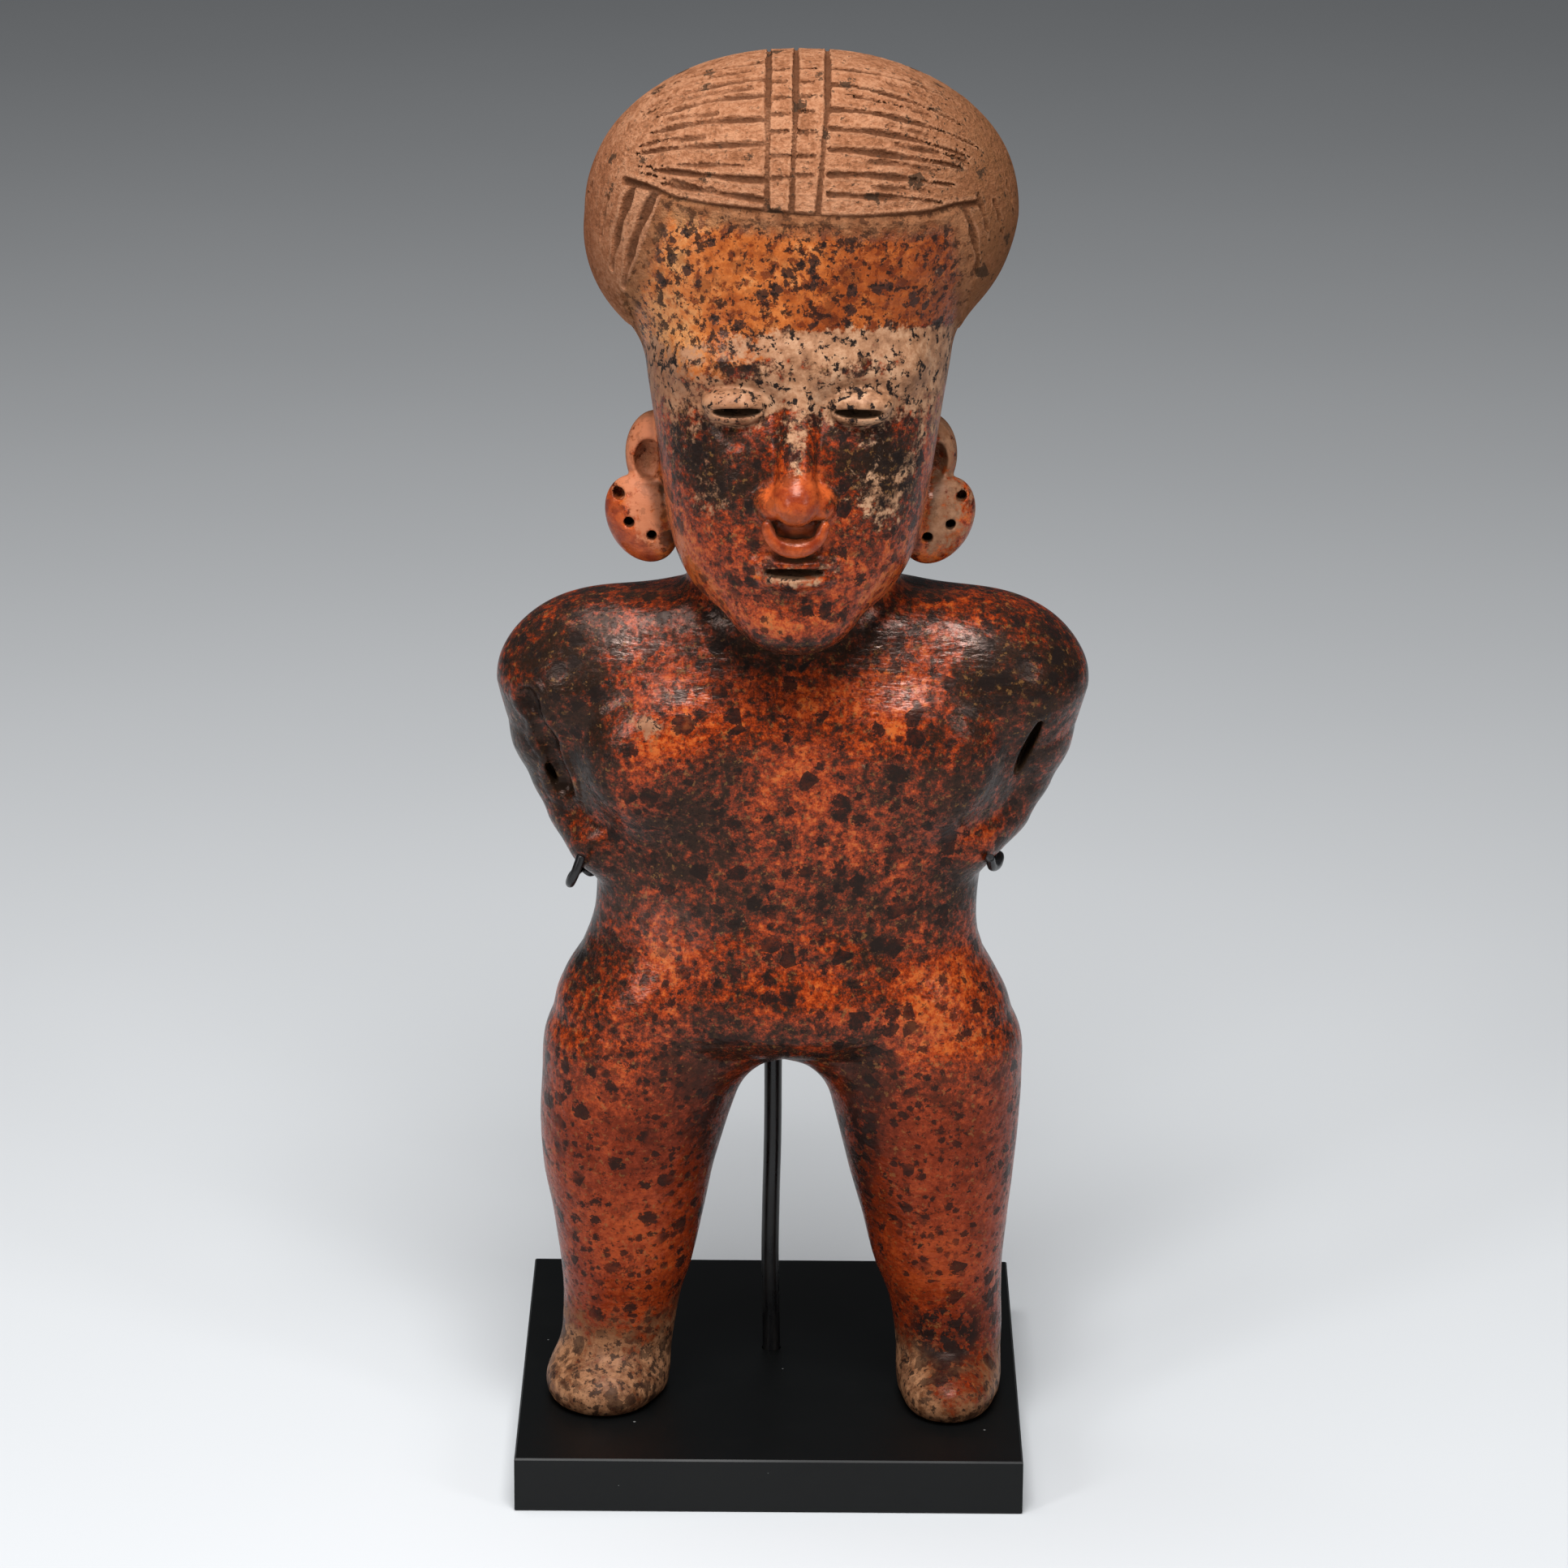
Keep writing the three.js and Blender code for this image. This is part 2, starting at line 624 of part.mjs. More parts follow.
// The ledge where the cap ends above the forehead, a little higher on the left, and the slanting locks
// beside it, each from its upper end to its lower
const edgeHeight = (x) => 442 - 0.055 * x + 0.0006 * x * x + 1.6 * smoothstep(Math.abs(x), 40, 50);
const LOCKS = [
  [[-55.5, -34.5, 445.4], [-62.1, -28.8, 418.4]],
  [[-48.4, -40.2, 445.5], [-58.2, -31.2, 412.5]],
  [[-68.9, -15, 443.8], [-71.3, -10.2, 432]],
  [[53.5, -37.9, 442], [58.8, -30.2, 416.3]],
  [[58, -33.6, 444.8], [61.9, -31, 429]],
  [[67.8, -18.8, 445.6], [70.1, -17.9, 432]],
];

function hairline() {
  const edge = Array.from({ length: 9 }, (_, i) => {
    const x = lerp(-55, 55, i / 8);
    return placed(...settle(head, [x, -52 + 0.006 * x * x, edgeHeight(x)]));
  });
  return bar(edge, STROKE_WIDTH, 4, 12);
}

function sideLocks() {
  return LOCKS.map((ends) => {
    const points = [0, 0.5, 1].map((share) => {
      const point = ends[0].map((value, axis) => lerp(value, ends[1][axis], share));
      return placed(...settle(head, point));
    });
    return bar(points, STROKE_WIDTH, 4, 3);
  });
}

function figureSolid() {
  const legs = [legSolid(LEFT_LEG, leftLeg), legSolid(RIGHT_LEG, rightLeg)];
  const limbs = [...legs, armSolid(LEFT_SHOULDER, LEFT_ARM), armSolid(RIGHT_SHOULDER, RIGHT_ARM)];
  const lid = (side) => bead([side * EYE_WIDTH, -52.5, EYE], [12, 9.5, 7.5], 12, 6, side * -0.18);
  const lips = bead([0, -62, MOUTH], [17, 8, 7.5], 12, 6);
  const ears = [...earSolids(-1, LEFT_EAR), ...earSolids(1, RIGHT_EAR)];
  const face = [headSolid(), noseSolid(), lid(-1), lid(1), lips, noseRing()];
  const whole = joined([trunkSolid(), ...limbs, ...face, ...ears]);
  const earCarving = [...earCuts(-1, LEFT_EAR), ...earCuts(1, RIGHT_EAR)];
  const carving = [...faceCuts(), ...earCarving, ...armSlots()];
  const hairCarving = [...hairStrokes(), ...partings(), ...ladderTicks(), hairline(), ...sideLocks()];
  return cut(cut(whole, carving), hairCarving);
}

// The block and the rod

function baseSolid() {
  const width = BASE_WIDTH / 2 - BASE_BEVEL;
  const depth = BASE_DEPTH / 2 - BASE_BEVEL;
  const outline = new THREE.Shape([
    new THREE.Vector2(-width, -depth),
    new THREE.Vector2(width, -depth),
    new THREE.Vector2(width, depth),
    new THREE.Vector2(-width, depth),
  ]);
  const block = new THREE.ExtrudeGeometry(outline, {
    depth: BASE_THICKNESS - 2 * BASE_BEVEL,
    bevelThickness: BASE_BEVEL,
    bevelSize: BASE_BEVEL,
    bevelSegments: 1,
  });
  block.translate(0, 0, BASE_BEVEL);
  const floor = new THREE.Vector3(ROD_OFFSET, ROD_BACK, BASE_THICKNESS - SOCKET_DEPTH);
  const mouth = new THREE.Vector3(ROD_OFFSET, ROD_BACK, BASE_THICKNESS + 1);
  return solid(block).subtract(pin(floor, mouth, ROD_DIAMETER + 2 * TOUCH_GAP, 24));
}

// Everything of the figure that the rod has to keep clear of
function body(x, y, z) {
  return Math.min(torsoAndArms(x, y, z), head(x, y, z));
}

// A placed point moved out of the body until a bar of the diameter given clears it
function clearOfBody(point, diameter) {
  const needed = (diameter / 2 + 3 * TOUCH_GAP) / GROWTH;
  const spot = onPlan(point);
  const size = Math.hypot(...slopeOf(body, ...spot));
  if (body(...spot) / size >= needed) return point;
  return placed(...settle(body, spot, needed));
}

// Where the back of the trunk lies, at a height of the plan
function backAt(x, z) {
  return skinRadius(torso, x, 0, z, Math.PI / 2, 80);
}

// The wire behind the waist climbs from its left end to its right, and each hook runs forward and up
const WIRE_LEVEL = 199;
const WIRE_CLIMB = 7;
const LEFT_HOOK = [[-71.4, -27.5, 210.5], [-73.6, -28, 204], [-75.2, -25.5, 199.8], [-74.6, -12, 198],
  [-71.5, -2, 197]];
const RIGHT_HOOK = [[73, -4, 203.5], [72.2, -15, 203.8], [70.2, -21.5, 205.5], [67.5, -23.5, 211]];

function post() {
  const foot = new THREE.Vector3(ROD_OFFSET, ROD_BACK, BASE_THICKNESS - SOCKET_DEPTH + TOUCH_GAP);
  const bend = BASE_THICKNESS + ROD_STRAIGHT * GROWTH;
  const rising = [0, 0.2, 0.45, 0.7, 1].map((share) => {
    const aside = ROD_BOW * GROWTH * Math.sin(share * Math.PI) ** 2;
    return new THREE.Vector3(ROD_OFFSET - aside, ROD_BACK, lerp(BASE_THICKNESS, bend, share));
  });
  const behind = [128, 140, 152, 166, 182, WIRE_LEVEL].map((z) => {
    const y = backAt(0, z) * GROWTH - FIGURE_FORWARD + ROD_DIAMETER / 2 + 3 * TOUCH_GAP;
    const point = new THREE.Vector3(ROD_OFFSET, Math.max(y, ROD_BACK), z * GROWTH + SOLE_HEIGHT);
    return clearOfBody(point, ROD_DIAMETER);
  });
  return bar([foot, ...rising, ...behind], ROD_DIAMETER, 8, 24);
}

// The wire that runs around the back of the waist, from under one hand to under the other
function crossWire() {
  const count = 12;
  const middleY = -2;
  const around = Array.from({ length: count + 1 }, (_, i) => {
    const angle = lerp(Math.PI, 0, i / count);
    const z = WIRE_LEVEL + lerp(-WIRE_CLIMB, WIRE_CLIMB, i / count) / 2;
    const clearance = (WIRE_DIAMETER / 2 + TOUCH_GAP) / GROWTH;
    const radius = skinRadius(torso, 0, middleY, z, angle, 100) + clearance;
    return [radius * Math.cos(angle), middleY + radius * Math.sin(angle), z];
  });
  const route = [...LEFT_HOOK, ...around, ...RIGHT_HOOK];
  const points = route.map((spot) => clearOfBody(placed(...spot), WIRE_DIAMETER));
  return bar(points, WIRE_DIAMETER, 6, 40);
}

function rodSolid() {
  return joined([post(), crossWire()]);
}

// The three pieces as a scene

function node(name, manifold, material) {
  const mesh = new THREE.Mesh(asGeometry(manifold), material);
  mesh.name = name;
  return mesh;
}

const burnishedClay = new THREE.MeshStandardMaterial({ color: 0x7d3219, roughness: 0.42, metalness: 0 });
const blackBlock = new THREE.MeshStandardMaterial({ color: 0x0c0c0d, roughness: 0.45, metalness: 0 });
const blackenedSteel = new THREE.MeshStandardMaterial({ color: 0x101011, roughness: 0.38, metalness: 0.4 });

const figureOnStand = new THREE.Group();
figureOnStand.add(node('base', baseSolid(), blackBlock));
figureOnStand.add(node('support_rod', rodSolid(), blackenedSteel));
figureOnStand.add(node('figure', figureSolid(), burnishedClay));

export default figureOnStand;
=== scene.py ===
import math

import bpy
import numpy as np
from mathutils import Matrix, Vector


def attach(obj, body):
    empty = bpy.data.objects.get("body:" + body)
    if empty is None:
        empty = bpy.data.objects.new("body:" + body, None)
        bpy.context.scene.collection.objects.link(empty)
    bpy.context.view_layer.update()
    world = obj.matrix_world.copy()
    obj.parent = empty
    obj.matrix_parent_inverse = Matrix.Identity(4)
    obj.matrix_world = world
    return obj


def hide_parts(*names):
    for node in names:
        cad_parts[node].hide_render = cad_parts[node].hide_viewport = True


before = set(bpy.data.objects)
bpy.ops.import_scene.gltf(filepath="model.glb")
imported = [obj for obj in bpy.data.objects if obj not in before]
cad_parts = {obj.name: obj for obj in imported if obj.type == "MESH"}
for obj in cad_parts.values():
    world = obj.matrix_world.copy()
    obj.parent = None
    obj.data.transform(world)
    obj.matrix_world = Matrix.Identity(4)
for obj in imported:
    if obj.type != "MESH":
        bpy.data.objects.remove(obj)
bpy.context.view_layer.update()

# The look of a standing ceramic figure on a black block. The figure's form is worked out from the same
# plan as its solid: every length of the plan is in millimetres above the soles, x across, y fore and
# aft with -y the front, and placed() turns it into metres on the block.

# The block, and where the figure stands on it
BLOCK_HEIGHT = 20
TOUCH_GAP = 0.3
FIGURE_FORWARD = 25
FIGURE_OFFSET = 3.4
LEAN = math.tan(math.radians(0.6))

# The rod and the wire
ROD_DIAMETER = 6.35
ROD_BACK = 8
ROD_OFFSET = 0.5
ROD_STRAIGHT = 85
ROD_BOW = 0.7
ROD_BEHIND_LEVELS = (128, 140, 152, 166, 182)
SOCKET_DEPTH = 12
WIRE_DIAMETER = 3.2
WIRE_LEVEL = 199
WIRE_CLIMB = 7
WIRE_MIDDLE = (0, -2)
WIRE_POINTS = 13
LEFT_HOOK = [
    (-71.4, -27.5, 210.5), (-73.6, -28, 204), (-75.2, -25.5, 199.8), (-74.6, -12, 198), (-71.5, -2, 197),
]
RIGHT_HOOK = [(73, -4, 203.5), (72.2, -15, 203.8), (70.2, -21.5, 205.5), (67.5, -23.5, 211)]
BAR_SIDES = 28
WIRE_SIDES = 18
BAR_ROUNDING = 0.4
WIRE_ROUNDING = 0.3

# How finely the clay is meshed
GRID_STEP = 0.9
BODY_LEVEL = 286
BODY_STEP = 1.35
GRID_BLOCK = 4
GRID_BATCH = 4000
MOST_TRIANGLES = 190000
PLAN_LOW = (-107, -86, -4)
PLAN_HIGH = (107, 52, 490)
BODY_TOP = 366
HEAD_BOTTOM = 280
FAR_OUTSIDE = 60.0
FAR_ON_GRID = 50
DETAIL_REACH = 4
ARM_DETAIL_REACH = 14

# Sections of the plan: height, middle across, half width, middle fore and aft, half depth
TRUNK = np.array([
    [136, -1, 42, -1, 24],
    [142, -1, 62, -1, 32],
    [149, -1.5, 74.5, -1, 37.5],
    [158, -2, 75, -1, 39],
    [171, -1.4, 69.4, -1, 37],
    [184, -0.6, 66.8, -2, 35.2],
    [199, 0, 66.8, -2.5, 35],
    [212, 0.6, 70, -3, 35.5],
    [228, 0.6, 77, -3.5, 36.5],
    [243, 0.6, 83.5, -3.5, 37],
    [258, 0.6, 87.5, -3, 37],
    [272, 0.6, 87, -1.5, 34.5],
    [286, 1, 78, 0, 30],
    [297, 2, 60, 0.5, 25],
    [304, 2, 42, 1, 19],
])
LEFT_LEG = np.array([
    [-4, -60, 18.5, 3, 18],
    [24, -57.9, 20, 2, 19.5],
    [37, -56.4, 21, 2, 20.5],
    [50, -54.9, 23.5, 1, 22.5],
    [69, -54.5, 26.8, 0, 25],
    [87, -54.8, 30, -1, 28],
    [106, -53, 33.1, -2, 31],
    [122, -50.2, 35.4, -2, 33.5],
    [138, -47.5, 37, -1.5, 34.5],
    [152, -44, 33.5, -1, 33],
    [168, -38, 27, 0, 29],
])
RIGHT_LEG = np.array([
    [-4, 61, 17.5, 3, 17.5],
    [24, 60.2, 19.2, 2, 19],
    [37, 58.6, 20.3, 2, 20],
    [50, 56, 22.8, 1, 22],
    [69, 54.2, 26, 0, 25],
    [87, 52.4, 29.3, -1, 28],
    [106, 50.5, 32.3, -2, 31],
    [122, 48.6, 34.6, -2, 33.5],
    [138, 46, 36.4, -1.5, 34.5],
    [152, 42, 33, -1, 33],
    [168, 36, 27, 0, 29],
])
HEAD = np.array([
    [298, 0, 20, -30, 22],
    [306, 0, 31, -25, 35],
    [320, 0, 40, -21, 44],
    [342, 0, 45, -17, 48.5],
    [365, 0, 48.5, -14, 49],
    [386, 0, 51.5, -11.5, 48.5],
    [410, 0, 54, -9, 48],
    [435, 0, 60, -6, 46],
    [455, 0, 58, -5, 40],
])

# The feet, the mound and the breasts: middle and radii, and a turn; the neck: its ends and radii
LEFT_FOOT = ((-63, -8.5, 6), (20.2, 24, 12.5), 0.12)
RIGHT_FOOT = ((60.5, -14, 6.5), (17, 22.5, 12.5))
MOUND = ((1, -23, 154), (25, 17, 16.5))
BREAST = ((42, -30, 246), (25, 11, 22))
NECK = ((-1, 0, 284), (0, -6, 322), 36, 36, 0.8)

# The cap of hair
HAIR_MIDDLE = (0.4, -4, 432)
HAIR_WIDTH = 72.3
HAIR_DEPTH = 50
HAIR_RISE = 53.8
HAIR_FALL = 54
HAIR_SQUARENESS = 2.1
HAIR_LEAN = 0.09

# The edge of the hair: over the forehead its height, slope and curve; beside the forehead how far out
# it is at the top and at the bottom, the height of the top, and the fall between them; then behind
EDGE_OVER_FOREHEAD = (442, -0.055, 0.0006)
EDGE_CORNER_RISE = 1.6
LEFT_TEMPLE = (46.2, 57.9, 446, 34)
RIGHT_TEMPLE = (53.2, 58.8, 442, 25)
TEMPLE_BOTTOM = 410
NAPE = 332
BACK_EDGE_FRONT = -31
BACK_EDGE_BACK = 3
BACK_EDGE_TOP = 414
BACK_EDGE_SLOPE = 0.62
HAIR_THICKNESS = 0.5

# The strokes on each side of the parting, in degrees: up at the parting, up at the outer end, how far
# out that end is, and how far out all of them start
LEFT_STROKES = [
    (16, 30, 53), (23, 35, 56), (36, 44, 60), (46, 53, 54), (57, 61, 51), (66, 72, 53), (78, 85, 45),
]
RIGHT_STROKES = [
    (18, 16, 42), (25, 25, 47), (34, 34, 53), (42, 41, 55), (50, 50, 56), (62, 59, 47), (72, 79, 52),
]
LEFT_START = 10.5
RIGHT_START = 7
LEFT_START_BEHIND = 11
STROKES_BEHIND = 3
BEHIND_FROM = 104
BEHIND_TO = 158
BEHIND_OUT = 50
STROKE_DEPTH = 1.7
STROKE_HALF = 1.2
STROKE_TAPER = 0.8
STROKE_SEED = 3
BURR = 0.1

# The partings, in degrees out at the top and at the front, and the ticks between them
LEFT_PARTING = (-9.4, -9.2)
MIDDLE_PARTING = (-2.2, -3)
RIGHT_PARTING = (6, 3.4)
PARTING_FROM = 11
PARTING_TO = 157
PARTING_STRAIGHT = 50
PARTING_CUT = (1.7, 1.1, 0)
TICKS = 7
TICKS_FROM = 24
TICKS_TO = 72
TICK_LENGTH = 5
TICK_CUT = (1.2, 1.0, 0.3)
TICK_SEED = 8

# The cut under the edge of the hair: its two ends, and its depth, half width and taper
EDGE_FROM = -58
EDGE_TO = 57
EDGE_CUT = (1.7, 1.4, 0)

# The slanting cuts beside the forehead: where each starts and ends, its depth and its half width
LOCK_TAPER = 0.5
LOCKS = [
    ((-55.5, -34.5, 445.4), (-62.1, -28.8, 418.4), 2.2, 1.9),
    ((-48.4, -40.2, 445.5), (-58.2, -31.2, 412.5), 2.2, 2.0),
    ((-63.6, -26.9, 441.5), (-66.2, -25.0, 426.9), 0.9, 1.1),
    ((-68.9, -15.0, 443.8), (-71.3, -10.2, 436.4), 0.8, 1.1),
    ((53.5, -37.9, 442.0), (58.8, -30.2, 416.3), 1.5, 1.3),
    ((58.0, -33.6, 444.8), (61.9, -31.0, 429.0), 1.0, 1.1),
    ((63.5, -28.3, 441.3), (66.8, -24.5, 429.2), 0.9, 1.1),
    ((67.8, -18.8, 445.6), (70.1, -17.9, 436.2), 0.8, 1.1),
    ((-58.2, -28.0, 408.0), (-55.6, -25.0, 400.5), 1.4, 1.3),
]

# The face keeps to plain proportions: equal thirds from hairline to brow, nose base and chin
HAIRLINE = 440
CHIN = 291
THIRD = (HAIRLINE - CHIN) / 3
NOSE_BASE = CHIN + THIRD
BROW = NOSE_BASE + THIRD
MOUTH = NOSE_BASE - THIRD / 3
EYE_WIDTH = 20
EYE = BROW - 12.5

# Forms of the face: middle, radii and a turn, or the two ends of a limb and its radius at each
BROW_RIDGE = ((6, -52, BROW + 1), (33, -44, BROW - 1), 7, 6)
EYE_HOLLOW = ((EYE_WIDTH, -65.5, EYE), (15.5, 9.5, 10.5))
CHIN_BALL = ((0, -49, CHIN + 13), (20, 15, 13))
NOSE_BRIDGE = ((0, -55, BROW - 5), (0, -68.5, NOSE_BASE + 11), 4.6, 6.6)
NOSE_TIP = ((0, -69, NOSE_BASE + 7.5), (7.6, 8.6, 7.2))
NOSE_WING = ((8, -64, NOSE_BASE + 6), (5.4, 7.2, 5.6))
UPPER_LID = ((EYE_WIDTH, -54.2, EYE + 1.4), (12.2, 8.6, 5.6), -0.2)
LOWER_LID = ((EYE_WIDTH - 0.3, -54, EYE - 2.2), (11, 8, 4.2), -0.2)
UPPER_LIP = ((0, -61.5, MOUTH + 2.5), (15.5, 7.6, 3.6))
LOWER_LIP = ((0, -61.5, MOUTH - 2.9), (13.5, 8.2, 4.2))
EYE_SLIT = ((EYE_WIDTH, -62, EYE - 0.6), (8.6, 6.5, 1.6), -0.15)
MOUTH_SLIT = ((0, -70, MOUTH), (12, 8, 1.6))
NOSTRIL = ((4.8, -69, NOSE_BASE - 3), (4.4, -65, NOSE_BASE + 8), 2, 2)

# The ring in the nose: place, radius, half its thickness at the ends and how much more below
RING_FRONT = -69.2
RING_LEVEL = NOSE_BASE + 2
RING_RADIUS = 9.6
RING_THIN = 1.5
RING_SWELL = 1.7
RING_END = math.radians(80)

# Arms: the ball of each shoulder, then the joints down to the hand with a radius at each
SHOULDER_RADII = (29.8, 26, 29.5)
LEFT_SHOULDER = (-69, 1, 265)
RIGHT_SHOULDER = (69.6, 1, 264.5)
LEFT_ARM = ((-75, 0, 258, 23.6), (-78.6, 0, 246, 17), (-75.8, 0, 233, 14), (-72.4, -3, 221.5, 11.6),
            (-66.5, -13, 212, 9.6))
RIGHT_ARM = ((75.4, 0, 258, 23.6), (78.8, 0, 246, 16.8), (76.2, 0, 234, 14), (72, -3, 223, 11.6),
             (62, -15, 215.5, 9.6))

# The hollow between the left arm and the body
ARM_HOLLOW = (
    (-90.4, -21.7, 264.8), (-87, -22.1, 258.2), (-84, -20.2, 250.3), (-81, -18.3, 242.4), (-78, -15, 232),
)
HOLLOW_DEPTH = 4.5
HOLLOW_HALF = 4.2

# The narrow slots through to the back of each arm: middle, radii and lean
LEFT_SLOT = ((-82.4, -13, 236), (1.2, 6, 5), -0.36)
RIGHT_SLOT = ((81.4, -20.5, 249), (1.7, 8, 11.5), 0.36)

# Ears and their ornaments
LEFT_EAR = 48
RIGHT_EAR = 44.5
EAR_SHELL = ((0, -2, 347), (10.5, 8, 15), 0.2)
EAR_HOLLOW = ((2, -10, 346), (5.4, 7.4, 7.6))
ORNAMENT = (4.2, -7, 325.5)
ORNAMENT_RADII = (12.3, 7.5, 16)
ORNAMENT_TURN = 0.3
ORNAMENT_LEAN = math.radians(30)
EAR_HOLES = ((7.8, 9), (4.2, 0), (-3.6, -4))
EAR_HOLE_DIAMETER = 3.4

# Boxes that the details lie in
FACE_BOX = ((-46, -90, 284), (46, -30, 400))
EARS_BOX = ((-90, -40, 296), (90, 24, 376))
EARS_COLOURED = ((-90, -40, 304), (90, 24, 368))
HAIR_BOX = ((-90, -90, 396), (90, 60, 495))
ARMS_BOX = ((-110, -60, 222), (110, 30, 280))

# Two chips at the ears: middle and radii
CHIPS = [((65.6, -3, 356), (5, 9, 4)), ((-67.5, -8, 322), (3, 6, 1.8))]

# Soft patches of the front: middle across and up, reach across and up, and strength. The bright ones on the
# shoulders and the left hip are painted highlights.
BRIGHT = [
    (-44, 254, 12, 12, 1.5), (30, 262, 24, 24, 0.5), (0, 250, 30, 40, 0.5),
    (-48, 284, 14, 12, 1.0), (44, 284, 14, 12, 0.9), (72, 268, 12, 14, 0.3),
    (-44, 184, 16, 12, 1.0), (52, 156, 22, 34, 1.5), (-58, 136, 22, 26, 1.1),
    (14, 168, 7, 7, 1.0), (66, 218, 14, 8, 0.9), (-66, 220, 12, 9, 0.6),
    (57, 48, 16, 30, 1.4), (-57, 60, 20, 26, 1.1), (34, 230, 16, 22, 0.3),
    (10, 215, 26, 14, 0.1), (40, 195, 18, 16, 0.1), (-20, 170, 24, 20, 0.3),
]
BURNISHED = [(-48, 282, 18, 15, 1.0), (44, 284, 20, 16, 1.0), (-42, 184, 15, 12, 1.0), (-60, 14, 11, 8, 0.4)]
# The dark patches under the chin, under the belly and down the inside of the legs are painted shade
DARK = [
    (-72, 280, 16, 14, 0.8), (0, 289, 34, 10, 2.2), (66, 276, 18, 16, 1.5),
    (-38, 224, 24, 22, 1.1), (68, 240, 14, 14, 1.0), (0, 137, 30, 11, 1.1),
    (-70, 244, 10, 24, 1.3), (-26, 112, 8, 40, 1.2), (27, 108, 9, 45, 1.8),
    (-56, 198, 16, 14, 1.0), (60, 196, 16, 16, 2.0), (-66, 168, 14, 8, 0.6),
    (84, 232, 10, 30, 1.2), (-92, 240, 10, 30, 1.4), (0, 196, 70, 9, 0.3),
    (-86, 272, 12, 16, 0.7), (88, 268, 14, 18, 1.2), (59, 28, 17, 15, 2.3),
    (50, 118, 16, 14, 0.8), (-44, 116, 18, 18, 1.2), (26, 206, 14, 12, 0.7),
]
FACE_BRIGHT = [(-36, 318, 18, 24, 2.2), (0, 302, 24, 9, 1.4), (34, 314, 16, 20, 1.5)]
# The first patch, down the nose bridge, is bare clay and a painted highlight along the ridge
BARE_FRONT = [
    (0, 364, 5, 18, 0.7), (0, MOUTH, 15, 5, 0.85), (28, 348, 16, 13, 0.5), (-30, 346, 12, 11, 0.38),
    (-49.5, 261, 5.5, 4.5, 0.9),
]

# Soft patches that are alike on both sides
FACE_DARK_BOTH = [(31, 358, 12, 13, 2.6), (13, 352, 5, 12, 0.9)]
DARK_BROW = (22, BROW + 1, 16, 4, 0.62)
COVERED_BROW = (22, BROW + 1, 17, 4, 0.6)
BARE_LID = (EYE_WIDTH, EYE, 13.5, 7, 0.95)
BARE_TEMPLE = (46, 376, 12, 20, 0.55)
BARE_ORNAMENT = (50, 322, 8, 12, 0.3)

# Colours of the clay, from the darkest of each mottling to the lightest
BODY_COLOURS = [
    (0.0, (0.016, 0.009, 0.006)), (0.24, (0.034, 0.013, 0.008)), (0.42, (0.090, 0.016, 0.006)),
    (0.60, (0.195, 0.022, 0.004)), (0.80, (0.350, 0.042, 0.005)), (1.0, (0.500, 0.110, 0.020)),
]
LEG_COLOURS = [
    (0.0, (0.070, 0.014, 0.006)), (0.30, (0.145, 0.018, 0.005)), (0.60, (0.225, 0.026, 0.005)),
    (1.0, (0.400, 0.060, 0.010)),
]
FOREHEAD_COLOURS = [
    (0.0, (0.24, 0.050, 0.011)), (0.35, (0.38, 0.098, 0.021)), (0.70, (0.48, 0.145, 0.036)),
    (1.0, (0.56, 0.240, 0.085)),
]
BUFF_COLOURS = [(0.0, (0.17, 0.075, 0.036)), (0.5, (0.34, 0.165, 0.085)), (1.0, (0.50, 0.285, 0.165))]
HAIR_COLOURS = [(0.0, (0.22, 0.083, 0.037)), (0.5, (0.35, 0.143, 0.069)), (1.0, (0.48, 0.225, 0.120))]
FRESH_SLIP = ((0.22, 0.028, 0.008), (0.50, 0.092, 0.020))
FOOT_COLOURS = ((0.110, 0.039, 0.016), (0.38, 0.180, 0.086))
MARGIN_COLOURS = ((0.20, 0.080, 0.036), (0.32, 0.140, 0.066))

# Colours laid over parts of the clay
OCHRE = (0.26, 0.120, 0.036)
BLOTCH = (0.120, 0.022, 0.007)
JAGGED_SPOT = (0.030, 0.014, 0.011)
MARK = (0.013, 0.009, 0.008)
# Dirt with painted shade for the narrow hollows, then painted shade for the deep ones
DIRT_AND_SHADE = (0.045, 0.028, 0.015)
SHADE = (0.026, 0.014, 0.008)
BARE_ANKLE = (0.150, 0.050, 0.018)
LEFT_BROW = (0.26, 0.100, 0.045)
LEFT_EAR_CLAY = (0.60, 0.190, 0.085)
RIGHT_EAR_CLAY = (0.20, 0.082, 0.038)
LEFT_HAIR = (0.24, 0.075, 0.032)
RIGHT_HAIR = (0.19, 0.075, 0.030)
# Painted shade for the cuts in the hair, and a painted highlight for their burrs
HAIR_CUT_SHADE = (0.100, 0.038, 0.018)
HAIR_BURR_HIGHLIGHT = (0.50, 0.245, 0.135)
HAIR_SPECK = (0.045, 0.028, 0.018)

# Colours of the block, its dust, the steel and the floor
BLOCK_COLOURS = ((0.0020, 0.0024, 0.0025), (0.0048, 0.0052, 0.0054))
DUST = (0.32, 0.32, 0.31)
STEEL_COLOURS = ((0.006, 0.006, 0.007), (0.020, 0.018, 0.017))
FLOOR_COLOURS = ((0.68, 0.70, 0.72), (0.72, 0.74, 0.76))

